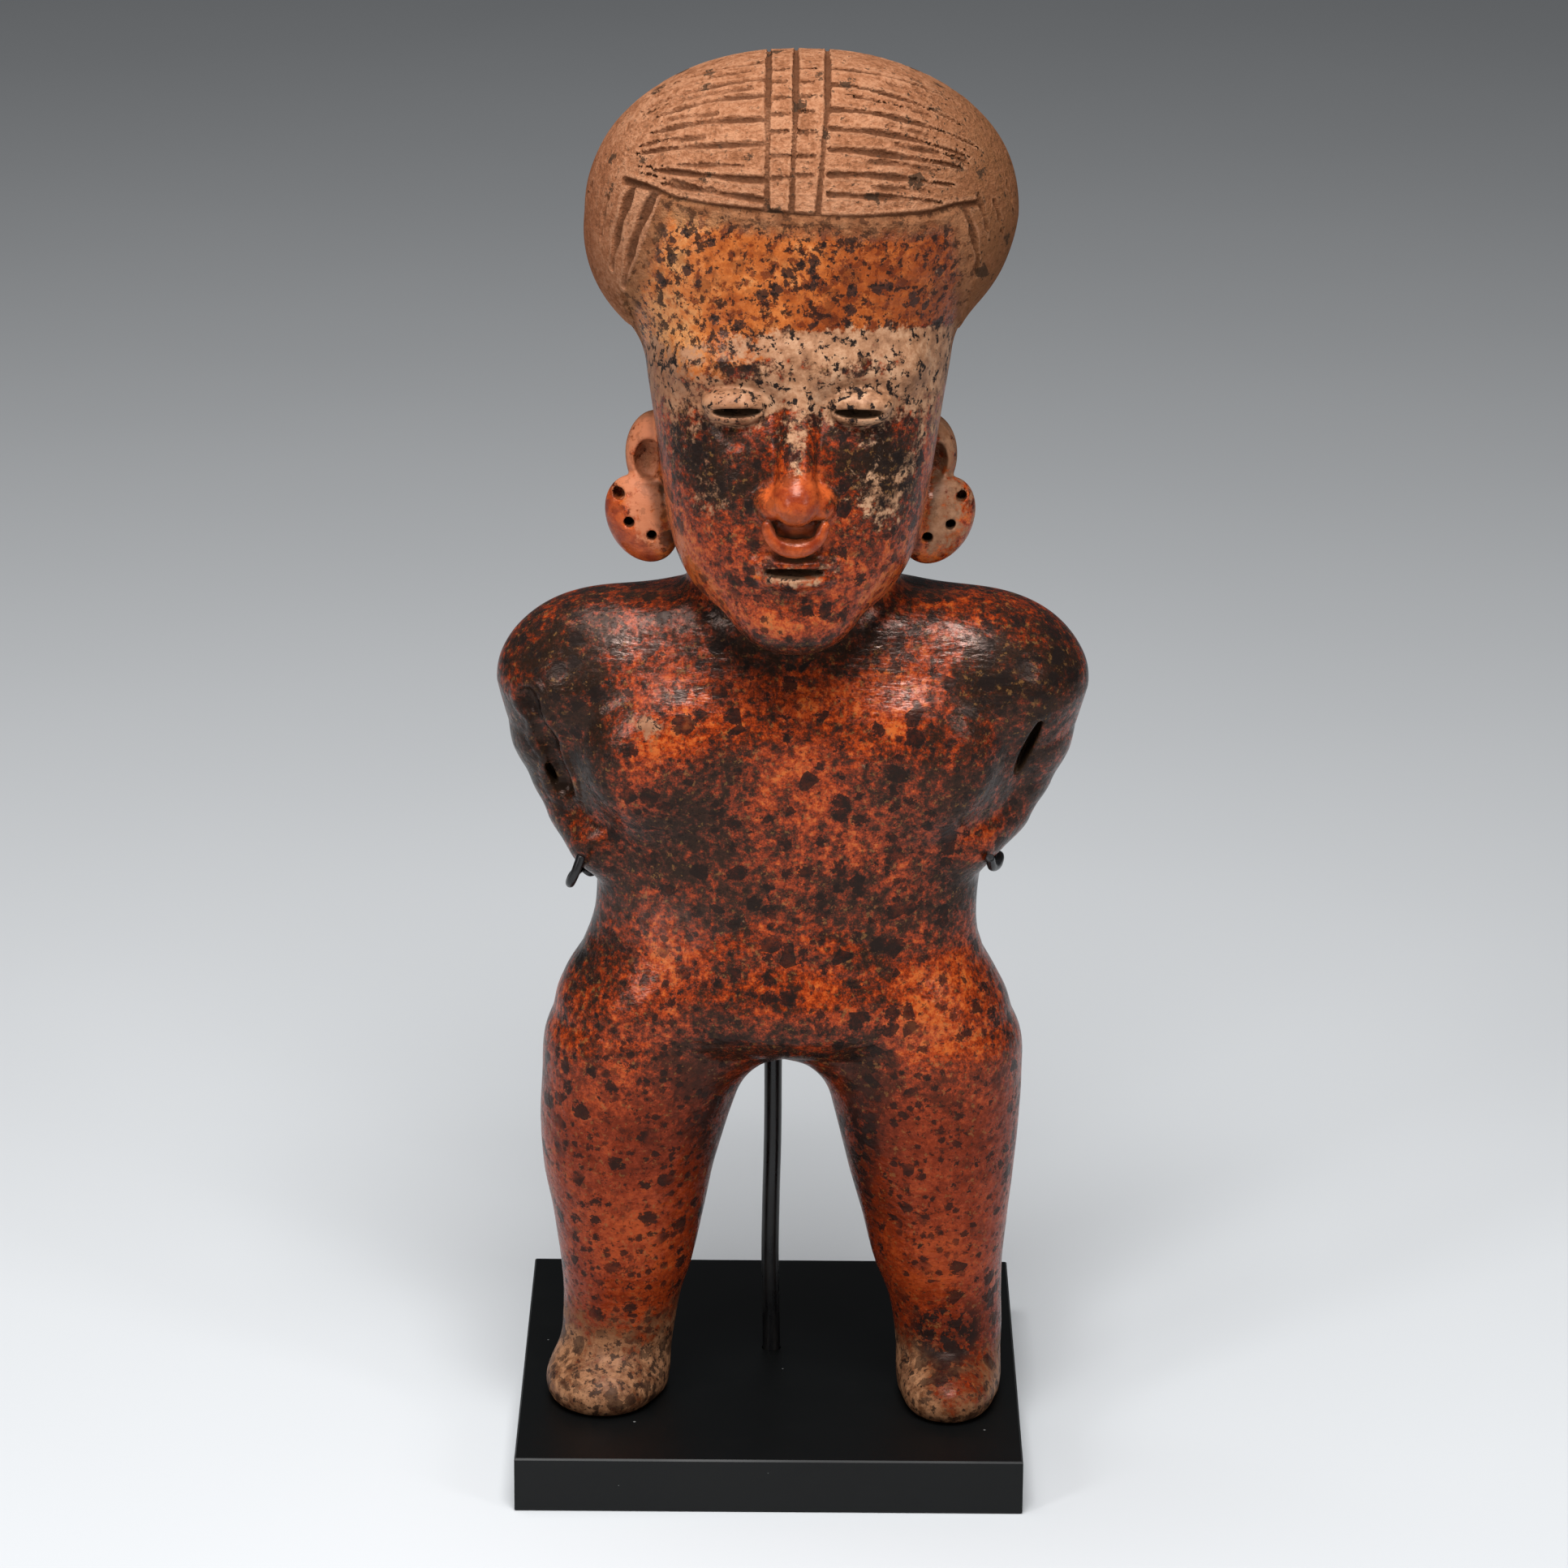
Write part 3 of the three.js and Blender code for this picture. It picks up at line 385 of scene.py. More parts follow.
# The stage, in metres and watts: each lamp's place, what it is aimed at, its size and its power
FLOOR_HALF = 9
LAMPS = {
    "overhead": ((0.03, -0.80, 1.50), (0, -0.02, 0.25), (0.75, 0.5), 23.5),
    "left softbox": ((-1.35, -1.45, 0.95), (0, 0, 0.25), (0.35, 0.7), 10),
    "right softbox": ((1.45, -1.25, 1.05), (0, 0, 0.25), (0.35, 0.7), 6),
    "top": ((-0.3, -0.05, 1.85), (0, 0, 0.2), (1.2, 1.0), 15),
}
ROOM_COLOUR = (0.86, 0.90, 0.95, 1)
ROOM_LIGHT = 0.06
CAMERA_PLACE = (0.0037, -1.9881, 0.9090)
CAMERA_DOWN = 18.61
CAMERA_ROLL = 0.4
CAMERA_LENS = 136.9
CAMERA_FILM = 36
CAMERA_REACH = 50


# Arithmetic of forms: a form takes x, y and z, is negative inside and about the distance outside


def blend(a, b, width):
    """Two forms joined, with a soft fillet about as wide as the width."""
    share = np.clip(0.5 + 0.5 * (b - a) / width, 0, 1)
    return b + (a - b) * share - width * share * (1 - share)


def carve(a, b, width):
    """The first form with the second taken out of it."""
    return -blend(-a, b, width)


def mix(a, b, share):
    return a + (b - a) * share


def step_up(value, low, high):
    """0 below low, 1 above high, and smooth between them."""
    share = np.clip((value - low) / (high - low), 0, 1)
    return share * share * (3 - 2 * share)


def section_at(sections, z):
    """A smooth curve through every column of the sections, at the heights z."""
    heights = sections[:, 0]
    last = len(heights) - 1
    before = np.maximum(np.arange(last + 1) - 1, 0)
    after = np.minimum(np.arange(last + 1) + 1, last)
    slopes = (sections[after] - sections[before]) / (heights[after] - heights[before])[:, None]
    level = np.clip(z, heights[0], heights[-1])
    below = np.clip(np.searchsorted(heights, level) - 1, 0, last - 1)
    step = heights[below + 1] - heights[below]
    t = (level - heights[below]) / step
    ease = t * t * (3 - 2 * t)
    leave = step * t * (1 - t) ** 2
    arrive = step * t * t * (t - 1)
    return [
        mix(sections[below, c], sections[below + 1, c], ease)
        + leave * slopes[below, c]
        + arrive * slopes[below + 1, c]
        for c in (1, 2, 3, 4)
    ]


def stack(x, y, z, sections, squareness, rounding):
    """A stack of oval sections with rounded ends."""
    middle_x, half_width, middle_y, half_depth = section_at(sections, z)
    across = np.abs(x - middle_x) / half_width
    along = np.abs(y - middle_y) / half_depth
    reach = (across**squareness + along**squareness) ** (1 / squareness)
    side = (reach - 1) * np.minimum(half_width, half_depth)
    end = np.maximum(z - sections[-1, 0], sections[0, 0] - z)
    return -blend(-side, -end, rounding)


def oval(x, y, z, centre, radii, turn=0.0, lean=0.0):
    """An oval body, leaned over and then turned about the vertical."""
    dx, dy, dz = x - centre[0], y - centre[1], z - centre[2]
    u = dx * np.cos(turn) + dy * np.sin(turn)
    v = dy * np.cos(turn) - dx * np.sin(turn)
    w = u * np.sin(lean) + dz * np.cos(lean)
    u = u * np.cos(lean) - dz * np.sin(lean)
    u, v, w = u / radii[0], v / radii[1], w / radii[2]
    length = np.sqrt(u * u + v * v + w * w)
    spread = np.sqrt((u / radii[0]) ** 2 + (v / radii[1]) ** 2 + (w / radii[2]) ** 2)
    return length * (length - 1) / np.maximum(spread, 1e-9)


def limb(x, y, z, start, end, start_radius, end_radius, flatness=1.0):
    """A rounded limb between two points, flattened fore and aft."""
    scale = (1, 1 / flatness, 1)
    along = [(end[i] - start[i]) * scale[i] for i in range(3)]
    away = [(p - start[i]) * scale[i] for i, p in enumerate((x, y, z))]
    dot = sum(a * b for a, b in zip(along, away))
    t = np.clip(dot / sum(a * a for a in along), 0, 1)
    length = np.sqrt(sum((a - t * b) ** 2 for a, b in zip(away, along)))
    return length - mix(start_radius, end_radius, t)


# The body


def arm(x, y, z, shoulder, joints):
    form = oval(x, y, z, shoulder, SHOULDER_RADII)
    for start, end in zip(joints[:-1], joints[1:]):
        width = 10 if start is joints[0] else 3
        form = blend(form, limb(x, y, z, start, end, start[3], end[3]), width)
    return form


def legs(x, y, z):
    left = blend(stack(x, y, z, LEFT_LEG, 2.1, 6), oval(x, y, z, *LEFT_FOOT), 9)
    right = blend(stack(x, y, z, RIGHT_LEG, 2.1, 6), oval(x, y, z, *RIGHT_FOOT), 9)
    return np.minimum(left, right)


def torso(x, y, z):
    """The trunk and legs, which meet in an arch, the mound, the breasts and the neck."""
    arch = 8 + 16 * (1 - step_up(np.abs(x), 10, 40))
    form = blend(stack(x, y, z, TRUNK, 2.35, 14), legs(x, y, z), arch)
    form = blend(form, oval(x, y, z, *MOUND), 9)
    form = blend(form, oval(np.abs(x), y, z, *BREAST), 10)
    return blend(form, limb(x, y, z, *NECK), 7)


def body(x, y, z):
    """The torso and arms, with wider fillets at the shoulders and the hands."""
    left = arm(x, y, z, LEFT_SHOULDER, LEFT_ARM)
    arms = np.where(x < 0, left, arm(x, y, z, RIGHT_SHOULDER, RIGHT_ARM))
    width = 3 + 12 * step_up(z, 248, 276) + 7 * (1 - step_up(z, 208, 226))
    return blend(torso(x, y, z), arms, width)


# The head


def hair(x, y, z):
    rise = z - HAIR_MIDDLE[2]
    lean = HAIR_LEAN * np.minimum(rise, 0)
    u = np.abs(x - HAIR_MIDDLE[0] - lean) / HAIR_WIDTH
    v = np.abs(y - HAIR_MIDDLE[1]) / HAIR_DEPTH
    w = np.abs(rise) / np.where(rise < 0, HAIR_FALL, HAIR_RISE)
    reach = u**HAIR_SQUARENESS + v**HAIR_SQUARENESS + w**HAIR_SQUARENESS
    return (reach ** (1 / HAIR_SQUARENESS) - 1) * HAIR_DEPTH


def head(x, y, z):
    form = stack(x, y, z, HEAD, 2.3, 14)
    form = blend(form, limb(np.abs(x), y, z, *BROW_RIDGE), 9)
    form = carve(form, oval(np.abs(x), y, z, *EYE_HOLLOW), 6)
    form = blend(form, oval(x, y, z, *CHIN_BALL), 9)
    return blend(form, hair(x, y, z), 6)


def nose(x, y, z):
    form = blend(limb(x, y, z, *NOSE_BRIDGE), oval(x, y, z, *NOSE_TIP), 4)
    return blend(form, oval(np.abs(x), y, z, *NOSE_WING), 2.4)


def nose_ring(x, y, z):
    """A crescent, thickest below, that hangs from the nose."""
    angle = np.clip(np.arctan2(x, RING_LEVEL - z), -RING_END, RING_END)
    dx = x - RING_RADIUS * np.sin(angle)
    dz = z - RING_LEVEL + RING_RADIUS * np.cos(angle)
    half = RING_THIN + RING_SWELL * np.cos(angle)
    return np.sqrt(dx * dx + (y - RING_FRONT) ** 2 + dz * dz) - half


def lids(x, y, z):
    """A full upper lid over a slighter lower one."""
    return blend(oval(np.abs(x), y, z, *UPPER_LID), oval(np.abs(x), y, z, *LOWER_LID), 2)


def lips(x, y, z):
    return blend(oval(x, y, z, *UPPER_LIP), oval(x, y, z, *LOWER_LIP), 2)


def outward(x):
    """How far out from where the ear of the same side starts."""
    return np.abs(x) - np.where(x < 0, LEFT_EAR, RIGHT_EAR)


def ornament(out, y, z):
    return oval(out, y, z, ORNAMENT, ORNAMENT_RADII, ORNAMENT_TURN, ORNAMENT_LEAN)


def ears(x, y, z):
    """The shell of each ear, hollowed, and the leaning ornament below it."""
    out = outward(x)
    ear = carve(oval(out, y, z, *EAR_SHELL), oval(out, y, z, *EAR_HOLLOW), 1.6)
    return blend(ear, ornament(out, y, z), 2)


def ear_holes(x, y, z):
    out = outward(x)
    holes = [np.hypot(out - ORNAMENT[0] - across, z - ORNAMENT[2] - rise) for across, rise in EAR_HOLES]
    return np.maximum(np.minimum.reduce(holes) - EAR_HOLE_DIAMETER / 2, y + 4)


def face_cuts(x, y, z):
    """The slits of the eyes and the mouth, and the nostrils."""
    slits = np.minimum(oval(np.abs(x), y, z, *EYE_SLIT), oval(x, y, z, *MOUTH_SLIT))
    return np.minimum(slits, limb(np.abs(x), y, z, *NOSTRIL))


def inside_box(x, y, z, low, high):
    found = (x > low[0]) & (x < high[0]) & (y > low[1]) & (y < high[1])
    return found & (z > low[2]) & (z < high[2])


def change(form, places, x, y, z, rule):
    """Works a rule on a form where places is true, and leaves the rest as it is."""
    if places.any():
        form[places] = rule(form[places], x[places], y[places], z[places])


# How each feature is put on the head, and the width of its fillet
FEATURES = [
    (blend, nose, 3), (blend, lids, 1.4), (blend, lips, 2), (blend, nose_ring, 0.5), (carve, face_cuts, 0.9),
]


def whole_head(x, y, z):
    form = head(x, y, z)
    features = inside_box(x, y, z, *FACE_BOX)
    for rule, part, width in FEATURES:
        change(form, features, x, y, z, lambda f, *p: rule(f, part(*p), width))
    sides = (np.abs(x) > 26) & inside_box(x, y, z, *EARS_BOX)
    change(form, sides, x, y, z, lambda f, *p: blend(f, ears(*p), 2.4))
    change(form, sides, x, y, z, lambda f, *p: carve(f, ear_holes(*p), 0.8))
    return form


# The edge of the hair, and what is cut into it


def edge_height(x):
    """Height of the edge of the hair over the forehead."""
    height, slope, curve = EDGE_OVER_FOREHEAD
    return height + slope * x + curve * x * x + EDGE_CORNER_RISE * step_up(np.abs(x), 40, 50)


def temple_edge(z, out_at_top, out_at_bottom, top, fall):
    return mix(out_at_top, out_at_bottom, np.clip((top - z) / fall, 0, 1))


def hair_reach(x, y, z):
    """How far inside the hair a point of the skin lies, and less than 0 outside it."""
    above = z - edge_height(x)
    temple = np.where(x < 0, temple_edge(z, *LEFT_TEMPLE), temple_edge(z, *RIGHT_TEMPLE))
    beside = np.minimum(np.abs(x) - temple, z - TEMPLE_BOTTOM)
    back_edge = BACK_EDGE_FRONT + BACK_EDGE_SLOPE * (BACK_EDGE_TOP - z)
    behind = np.minimum(y - np.clip(back_edge, BACK_EDGE_FRONT, BACK_EDGE_BACK), z - NAPE)
    return np.maximum(np.maximum(above, beside), behind)


def gradient(form, points, reach=0.05):
    offsets = np.eye(3) * reach
    return np.stack([(form(*(points + o).T) - form(*(points - o).T)) / (2 * reach) for o in offsets], 1)


def settle(form, points, distance=0.0, steps=6, longest=3.0):
    """Moves points square to a form's skin, to the distance given outside it."""
    points = np.array(points, float)
    for _ in range(steps):
        slope = gradient(form, points)
        size = np.maximum(np.linalg.norm(slope, axis=1), 1e-6)
        move = np.clip(distance - form(*points.T) / size, -longest, longest)
        points += slope * (move / size)[:, None]
    return points


def on_hair(up, out):
    """Points on the skin of the hair, by degrees up over the head and out to the side."""
    up, out = np.radians(up), np.radians(out)
    rise = np.where(np.sin(up) > 0, HAIR_RISE, HAIR_FALL)
    x = HAIR_MIDDLE[0] + HAIR_WIDTH * np.sin(out)
    y = HAIR_MIDDLE[1] - HAIR_DEPTH * np.cos(out) * np.cos(up)
    z = HAIR_MIDDLE[2] + rise * np.cos(out) * np.sin(up)
    return settle(head, np.stack([x, y, z], 1))


def hair_strokes():
    """Trails on the hair's skin, each with its depth, half width and taper."""
    trails = []
    t = np.linspace(0, 1, 11)
    wobble = np.random.default_rng(STROKE_SEED)

    def add(side, near, from_up, to_up, out, size):
        turn = near + (out - near) * t
        up = from_up + (to_up - from_up) * t**1.3
        up = up + 0.5 * np.sin(5 * t + wobble.uniform(0, 6)) * np.sin(np.pi * t)
        half = STROKE_HALF * (0.5 + 0.5 * size)
        trails.append((on_hair(up, side * turn), STROKE_DEPTH * size, half, STROKE_TAPER))

    for side, near, lines in ((-1, LEFT_START, LEFT_STROKES), (1, RIGHT_START, RIGHT_STROKES)):
        for line in lines:
            add(side, near, *line, wobble.uniform(0.85, 1.15))
        for lower, upper in zip(lines[:-1], lines[1:]):
            start = near + wobble.uniform(0, 18)
            share = wobble.uniform(0.4, 0.6)
            ends = [mix(a, b, share) for a, b in zip(lower, upper)]
            add(side, start, ends[0], ends[1], ends[2] + wobble.uniform(-8, 6), wobble.uniform(0.35, 0.7))
    for i in range(STROKES_BEHIND):
        up = mix(BEHIND_FROM, BEHIND_TO, i / (STROKES_BEHIND - 1))
        add(-1, LEFT_START_BEHIND, up, up, BEHIND_OUT, 1)
        add(1, RIGHT_START, up, up, BEHIND_OUT, 1)
    return trails


def partings():
    """The three lines over the top of the head."""
    up = np.linspace(PARTING_FROM, PARTING_TO, 34)
    share = np.minimum(up / PARTING_STRAIGHT, 1)
    lines = [mix(bottom, top, share) for top, bottom in (LEFT_PARTING, MIDDLE_PARTING, RIGHT_PARTING)]
    return [(on_hair(up, out), *PARTING_CUT) for out in lines]


def ladder_ticks():
    """Short ticks like rungs between the partings."""
    trails = []
    wobble = np.random.default_rng(TICK_SEED)
    for left, right in ((LEFT_PARTING, MIDDLE_PARTING), (MIDDLE_PARTING, RIGHT_PARTING)):
        out = (sum(left) + sum(right)) / 4
        for i in range(TICKS):
            up = mix(TICKS_FROM, TICKS_TO, i / (TICKS - 1)) + wobble.uniform(-1, 1)
            half = math.degrees(TICK_LENGTH / 2 / HAIR_WIDTH)
            ends = out + np.linspace(-half, half, 3) + wobble.uniform(-0.3, 0.3)
            trails.append((on_hair(np.full(3, up), ends), *TICK_CUT))
    return trails


def edge_cuts():
    """The dark line under the edge of the hair, and the slanting locks at its two ends."""
    x = np.linspace(EDGE_FROM, EDGE_TO, 31)
    edge = settle(head, np.stack([x, -52 + 0.006 * x * x, edge_height(x) - 0.5], 1))
    trails = [(edge, *EDGE_CUT)]
    t = np.linspace(0, 1, 7)[:, None]
    for start, end, depth, half in LOCKS:
        trail = settle(head, mix(np.array(start), np.array(end), t))
        trails.append((trail, depth, half, LOCK_TAPER))
    return trails


def trail_boxes(trails):
    return [(points, depth, half, taper, points.min(0) - 2 * half, points.max(0) + 2 * half)
            for points, depth, half, taper in trails]


def distance_to_trail(x, y, z, trail):
    """How far the points are from a trail, and how far along it, from 0 to 1."""
    nearest = np.full(x.shape, 1e9)
    share = np.zeros(x.shape)
    for i, (a, b) in enumerate(zip(trail[:-1], trail[1:])):
        along = b - a
        away = np.stack([x - a[0], y - a[1], z - a[2]])
        t = np.clip((along @ away) / (along @ along), 0, 1)
        distance = ((away - along[:, None] * t) ** 2).sum(0)
        closer = distance < nearest
        nearest[closer] = distance[closer]
        share[closer] = (i + t[closer]) / (len(trail) - 1)
    return np.sqrt(nearest), share


def trail_depth(x, y, z, trails):
    """How deep the trails are cut at each point, below zero on the burrs along them."""
    cuts = np.zeros(x.shape)
    burrs = np.zeros(x.shape)
    for points, depth, half, taper, low, high in trails:
        near = inside_box(x, y, z, low, high)
        if near.any():
            away, share = distance_to_trail(x[near], y[near], z[near], points)
            size = 1 - taper * share**2.5 + 0.2 * np.sin(share * 14 + points[0, 2])
            away = away / (half * np.clip(size, 0.15, 1.2))
            cut = depth * np.clip(size, 0.15, 1.1) ** 1.6 * np.clip(1 - away**2, 0, 1) ** 1.2
            burr = BURR * depth * np.clip(1 - ((away - 1.4) / 0.5) ** 2, 0, 1)
            cuts[near] = np.maximum(cuts[near], cut)
            burrs[near] = np.maximum(burrs[near], burr)
    return cuts - burrs * np.clip(1 - cuts / 0.3, 0, 1)


ARM_TRAILS = trail_boxes([(np.array(ARM_HOLLOW), HOLLOW_DEPTH, HOLLOW_HALF, 0)])
HAIR_TRAILS = trail_boxes(hair_strokes() + partings() + ladder_ticks() + edge_cuts())


# The finished clay


def unevenness(x, y, z):
    """The slight unevenness of a form made by hand."""
    wide = np.sin(x / 11 + 1.3) * np.sin(z / 13 + 0.4) + np.sin(y / 9 + x / 17) * np.sin(z / 19 + 2)
    fine = np.sin(x / 4.3 + z / 9) * np.sin(z / 5.1 - y / 6)
    return 0.2 * wide + 0.05 * fine


def clay(x, y, z):
    """The whole figure."""
    form = np.full(x.shape, FAR_OUTSIDE)
    low = z < BODY_TOP
    change(form, low, x, y, z, lambda f, *p: body(*p))
    high = z > HEAD_BOTTOM
    change(form, high, x, y, z, lambda f, *p: blend(f, whole_head(*p), 4))
    form += unevenness(x, y, z)
    ledge = inside_box(x, y, z, *HAIR_BOX) & (np.abs(form) < DETAIL_REACH)
    change(form, ledge, x, y, z, lambda f, *p: f - HAIR_THICKNESS * step_up(hair_reach(*p), -0.4, 0.6))
    change(form, ledge, x, y, z, lambda f, *p: f + trail_depth(*p, HAIR_TRAILS))
    arms = inside_box(x, y, z, *ARMS_BOX) & (np.abs(form) < ARM_DETAIL_REACH)
    change(form, arms, x, y, z, lambda f, *p: f + trail_depth(*p, ARM_TRAILS))
    for middle, radii, lean in (LEFT_SLOT, RIGHT_SLOT):
        change(form, arms, x, y, z, lambda f, *p: carve(f, oval(*p, middle, radii, 0, lean), 1))
    for middle, radii in CHIPS:
        form = carve(form, oval(x, y, z, middle, radii), 0.6)
    return carve(form, z, 1.5)


# Meshing a form


# The corners of a cell of the grid
CORNERS = [(i, j, k) for i in (0, 1) for j in (0, 1) for k in (0, 1)]


def at_corner(values, corner):
    """The values at the same corner of every cell of a grid."""
    return values[tuple(slice(c, c + n - 1) for c, n in zip(corner, values.shape))]


def values_near_skin(form, axes, reach=9.0):
    """Values of a form on a grid, worked out near its skin, with only their sign right elsewhere."""
    corners = np.meshgrid(*[axis[::GRID_BLOCK] for axis in axes], indexing="ij")
    coarse = form(*[c.ravel() for c in corners]).reshape(corners[0].shape)
    nearest = np.minimum.reduce([np.abs(at_corner(coarse, corner)) for corner in CORNERS])
    values = np.sign(coarse[:-1, :-1, :-1]) * FAR_ON_GRID
    for axis in range(3):
        values = np.repeat(values, GRID_BLOCK, axis)
    steps = np.arange(GRID_BLOCK)
    inner = np.stack(np.meshgrid(steps, steps, steps, indexing="ij"), -1).reshape(-1, 3)
    blocks = np.argwhere(nearest < reach) * GRID_BLOCK
    for part in np.array_split(blocks, max(1, len(blocks) // GRID_BATCH)):
        at = (part[:, None, :] + inner[None]).reshape(-1, 3)
        points = [axes[i][at[:, i]] for i in range(3)]
        values[at[:, 0], at[:, 1], at[:, 2]] = form(*points)
    return values


def skin_of_grid(values, axes):
    """Points and quads of the skin where the values on a grid change sign."""
    inside = values < 0
    count = sum(at_corner(inside, corner).astype(np.int8) for corner in CORNERS)
    cells = np.argwhere((count > 0) & (count < 8))
    number = np.full(count.shape, -1, np.int64)
    number[tuple(cells.T)] = np.arange(len(cells))
    total = np.zeros((len(cells), 3))
    crossings = np.zeros(len(cells))
    for corner in CORNERS:
        for step in [step for step in np.eye(3, dtype=int) if corner @ step == 0]:
            a = values[tuple((cells + corner).T)]
            b = values[tuple((cells + corner + step).T)]
            crosses = (a < 0) != (b < 0)
            share = np.where(crosses, a / np.where(crosses, a - b, 1), 0)
            total += np.where(crosses[:, None], corner + share[:, None] * step, 0)
            crossings += crosses
    inner = total / crossings[:, None]
    spacing = [np.diff(axis) for axis in axes]
    points = np.stack([axes[i][cells[:, i]] + inner[:, i] * spacing[i][cells[:, i]] for i in range(3)], 1)
    quads = [quads_across(inside, number, axis) for axis in range(3)]
    return points, np.concatenate(quads)


def quads_across(inside, number, axis):
    """The quads that stand across the grid's edges along one axis."""
    first = [slice(None)] * 3
    second = [slice(None)] * 3
    first[axis] = slice(0, -1)
    second[axis] = slice(1, None)
    a, b = inside[tuple(first)], inside[tuple(second)]
    others = [i for i in range(3) if i != axis]
    at = np.argwhere(a != b)
    corners = []
    for back in ((-1, -1), (0, -1), (0, 0), (-1, 0)):
        cell = at.copy()
        cell[:, others[0]] += back[0]
        cell[:, others[1]] += back[1]
        corners.append(number[tuple(cell.T)])
    quad = np.stack(corners, 1)
    keep = a[tuple(at.T)] != (axis == 1)
    quad[~keep] = quad[~keep][:, ::-1]
    return quad


def new_object(name, points, faces):
    mesh = bpy.data.meshes.new(name)
    mesh.from_pydata(points, [], faces)
    piece = bpy.data.objects.new(name, mesh)
    bpy.context.scene.collection.objects.link(piece)
    return piece


def thinned(points, quads, most):
    """The same skin with fewer triangles, kept where the form turns."""
    piece = new_object("thinning", points.tolist(), quads.tolist())
    modifier = piece.modifiers.new("thin", "DECIMATE")
    modifier.ratio = min(1.0, most / (2 * len(quads)))
    evaluated = piece.evaluated_get(bpy.context.evaluated_depsgraph_get())
    mesh = bpy.data.meshes.new_from_object(evaluated)
    flat = np.empty(len(mesh.vertices) * 3)
    mesh.vertices.foreach_get("co", flat)
    faces = [list(face.vertices) for face in mesh.polygons]
    bpy.data.objects.remove(piece)
    return flat.reshape(-1, 3), faces


def placed(points):
    """Points of the plan in metres, where the figure stands."""
    x, y, z = np.asarray(points, float).T
    row = np.stack([x + FIGURE_OFFSET + LEAN * z, y - FIGURE_FORWARD, z + BLOCK_HEIGHT + TOUCH_GAP], 1)
    return row / 1000


def placed_directions(directions):
    """Normals of the plan after the lean, at length 1."""
    turned = directions.copy()
    turned[:, 2] -= LEAN * directions[:, 0]
    return turned / np.linalg.norm(turned, axis=1, keepdims=True)


# How the colours lie on the clay


def patch(x, z, across, up, reach_across, reach_up, strength):
    away = ((x - across) / reach_across) ** 2 + ((z - up) / reach_up) ** 2
    return strength * np.exp(-away)


def patches(x, z, places):
    return sum(patch(x, z, *place) for place in places)


def tones(x, y, z):
    """Bright, dark, leg and forehead shares of the clay; among the bright and dark patches are painted
    highlights and painted shade.
    """
    front = step_up(-y, -14, 6)
    outer = np.abs(x)
    bright = front * patches(x, z, BRIGHT)
    dark = front * patches(x, z, DARK)
    body_part = 1 - step_up(z, 288, 300)
    legs_part = 1 - step_up(z, 104, 150)
    brow_line = patch(outer, z, *DARK_BROW)
    forehead = step_up(z - 18 * step_up(x, -30, 8), 378, 391) * (1 - brow_line)
    face = step_up(z, 296, 306) * (1 - step_up(z, 384, 396)) * front
    bright += 0.3 * (1 - front) * body_part
    bright += face * patches(x, z, FACE_BRIGHT)
    bright += 1.2 * (outer > 42) * step_up(z, 300, 310) * (1 - step_up(z, 372, 384))
    dark += face * patches(outer, z, FACE_DARK_BOTH) + 2.2 * front * brow_line
    return bright, dark, legs_part, forehead


def buff_share(x, y, z):
    """Bare buff clay: brow, temples, lids, nose bridge, lips, ears and the tips of the feet; on the nose
    bridge it is also a painted highlight.
    """
    front = step_up(-y, 14, 30)
    outer = np.abs(x)
    top = 405 - 0.003 * (x - 10) ** 2
    brow = front * step_up(z, 374, 389) * (1 - step_up(z, top - 3, top + 3))
    brow = 0.85 * brow * (0.45 + 0.55 * step_up(x, -34, 4))
    brow = brow * (1 - patch(outer, z, *COVERED_BROW))
    face = front * (patch(outer, z, *BARE_LID) + patches(x, z, BARE_FRONT))
    temples = patch(outer, z, *BARE_TEMPLE) * step_up(-y, -20, 0)
    ears = step_up(outer - 0.08 * (z - 300), 41, 45) * (1 - step_up(z, 362, 370)) * step_up(z, 304, 310)
    ears = ears * step_up(-y, -16, -2) * (0.62 + patch(outer, z, *BARE_ORNAMENT))
    left_toe = (x < 0) * (1 - step_up(z - 0.45 * y, 12, 62))
    right_toe = (x > 0) * (1 - step_up(z - 0.3 * y, 6, 36) + patch(x, z, 47, 16, 8, 16, 0.5))
    return np.clip(brow + face + temples + ears + left_toe + right_toe, 0, 1)


def slip_share(x, y, z):
    """Fresh orange-red slip: the nose, its ring and the rims of the ear ornaments."""
    tip = patch(x, z, 0, NOSE_BASE + 7, 13, 14, 1) * step_up(-y, 57, 63)
    ring = patch(x, z, 0, NOSE_BASE - 6, 13, 7, 0.8) * step_up(-y, 62, 66)
    out = outward(x)
    rim = (1 - step_up(ornament(out, y, z), 0.5, 2.5)) * step_up(out - 0.8 * (z - 325), -2, 15)
    rim = rim * np.where(x < 0, 1.0, 0.45) * (np.abs(x) > 38)
    return np.clip(tip + ring + rim, 0, 1)


def ear_share(x, y, z):
    """1 on the ears and their ornaments."""
    past_head = step_up(np.abs(x) - 0.08 * (z - 300), 40, 44)
    return past_head * inside_box(x, y, z, *EARS_COLOURED)


def hollowness(points, normals, reach):
    """How closed-in each point of the skin is, from 0 in the open to 1 deep in a hollow."""
    beyond = points + normals * reach
    return np.clip(1 - clay(*beyond.T) / reach, 0, 1)


def paint(mesh, name, columns):
    """Keeps four numbers at every point of the mesh, for the material to use."""
    attribute = mesh.color_attributes.new(name, "FLOAT_COLOR", "POINT")
    attribute.data.foreach_set("color", np.stack(columns, 1).astype(np.float32).ravel())


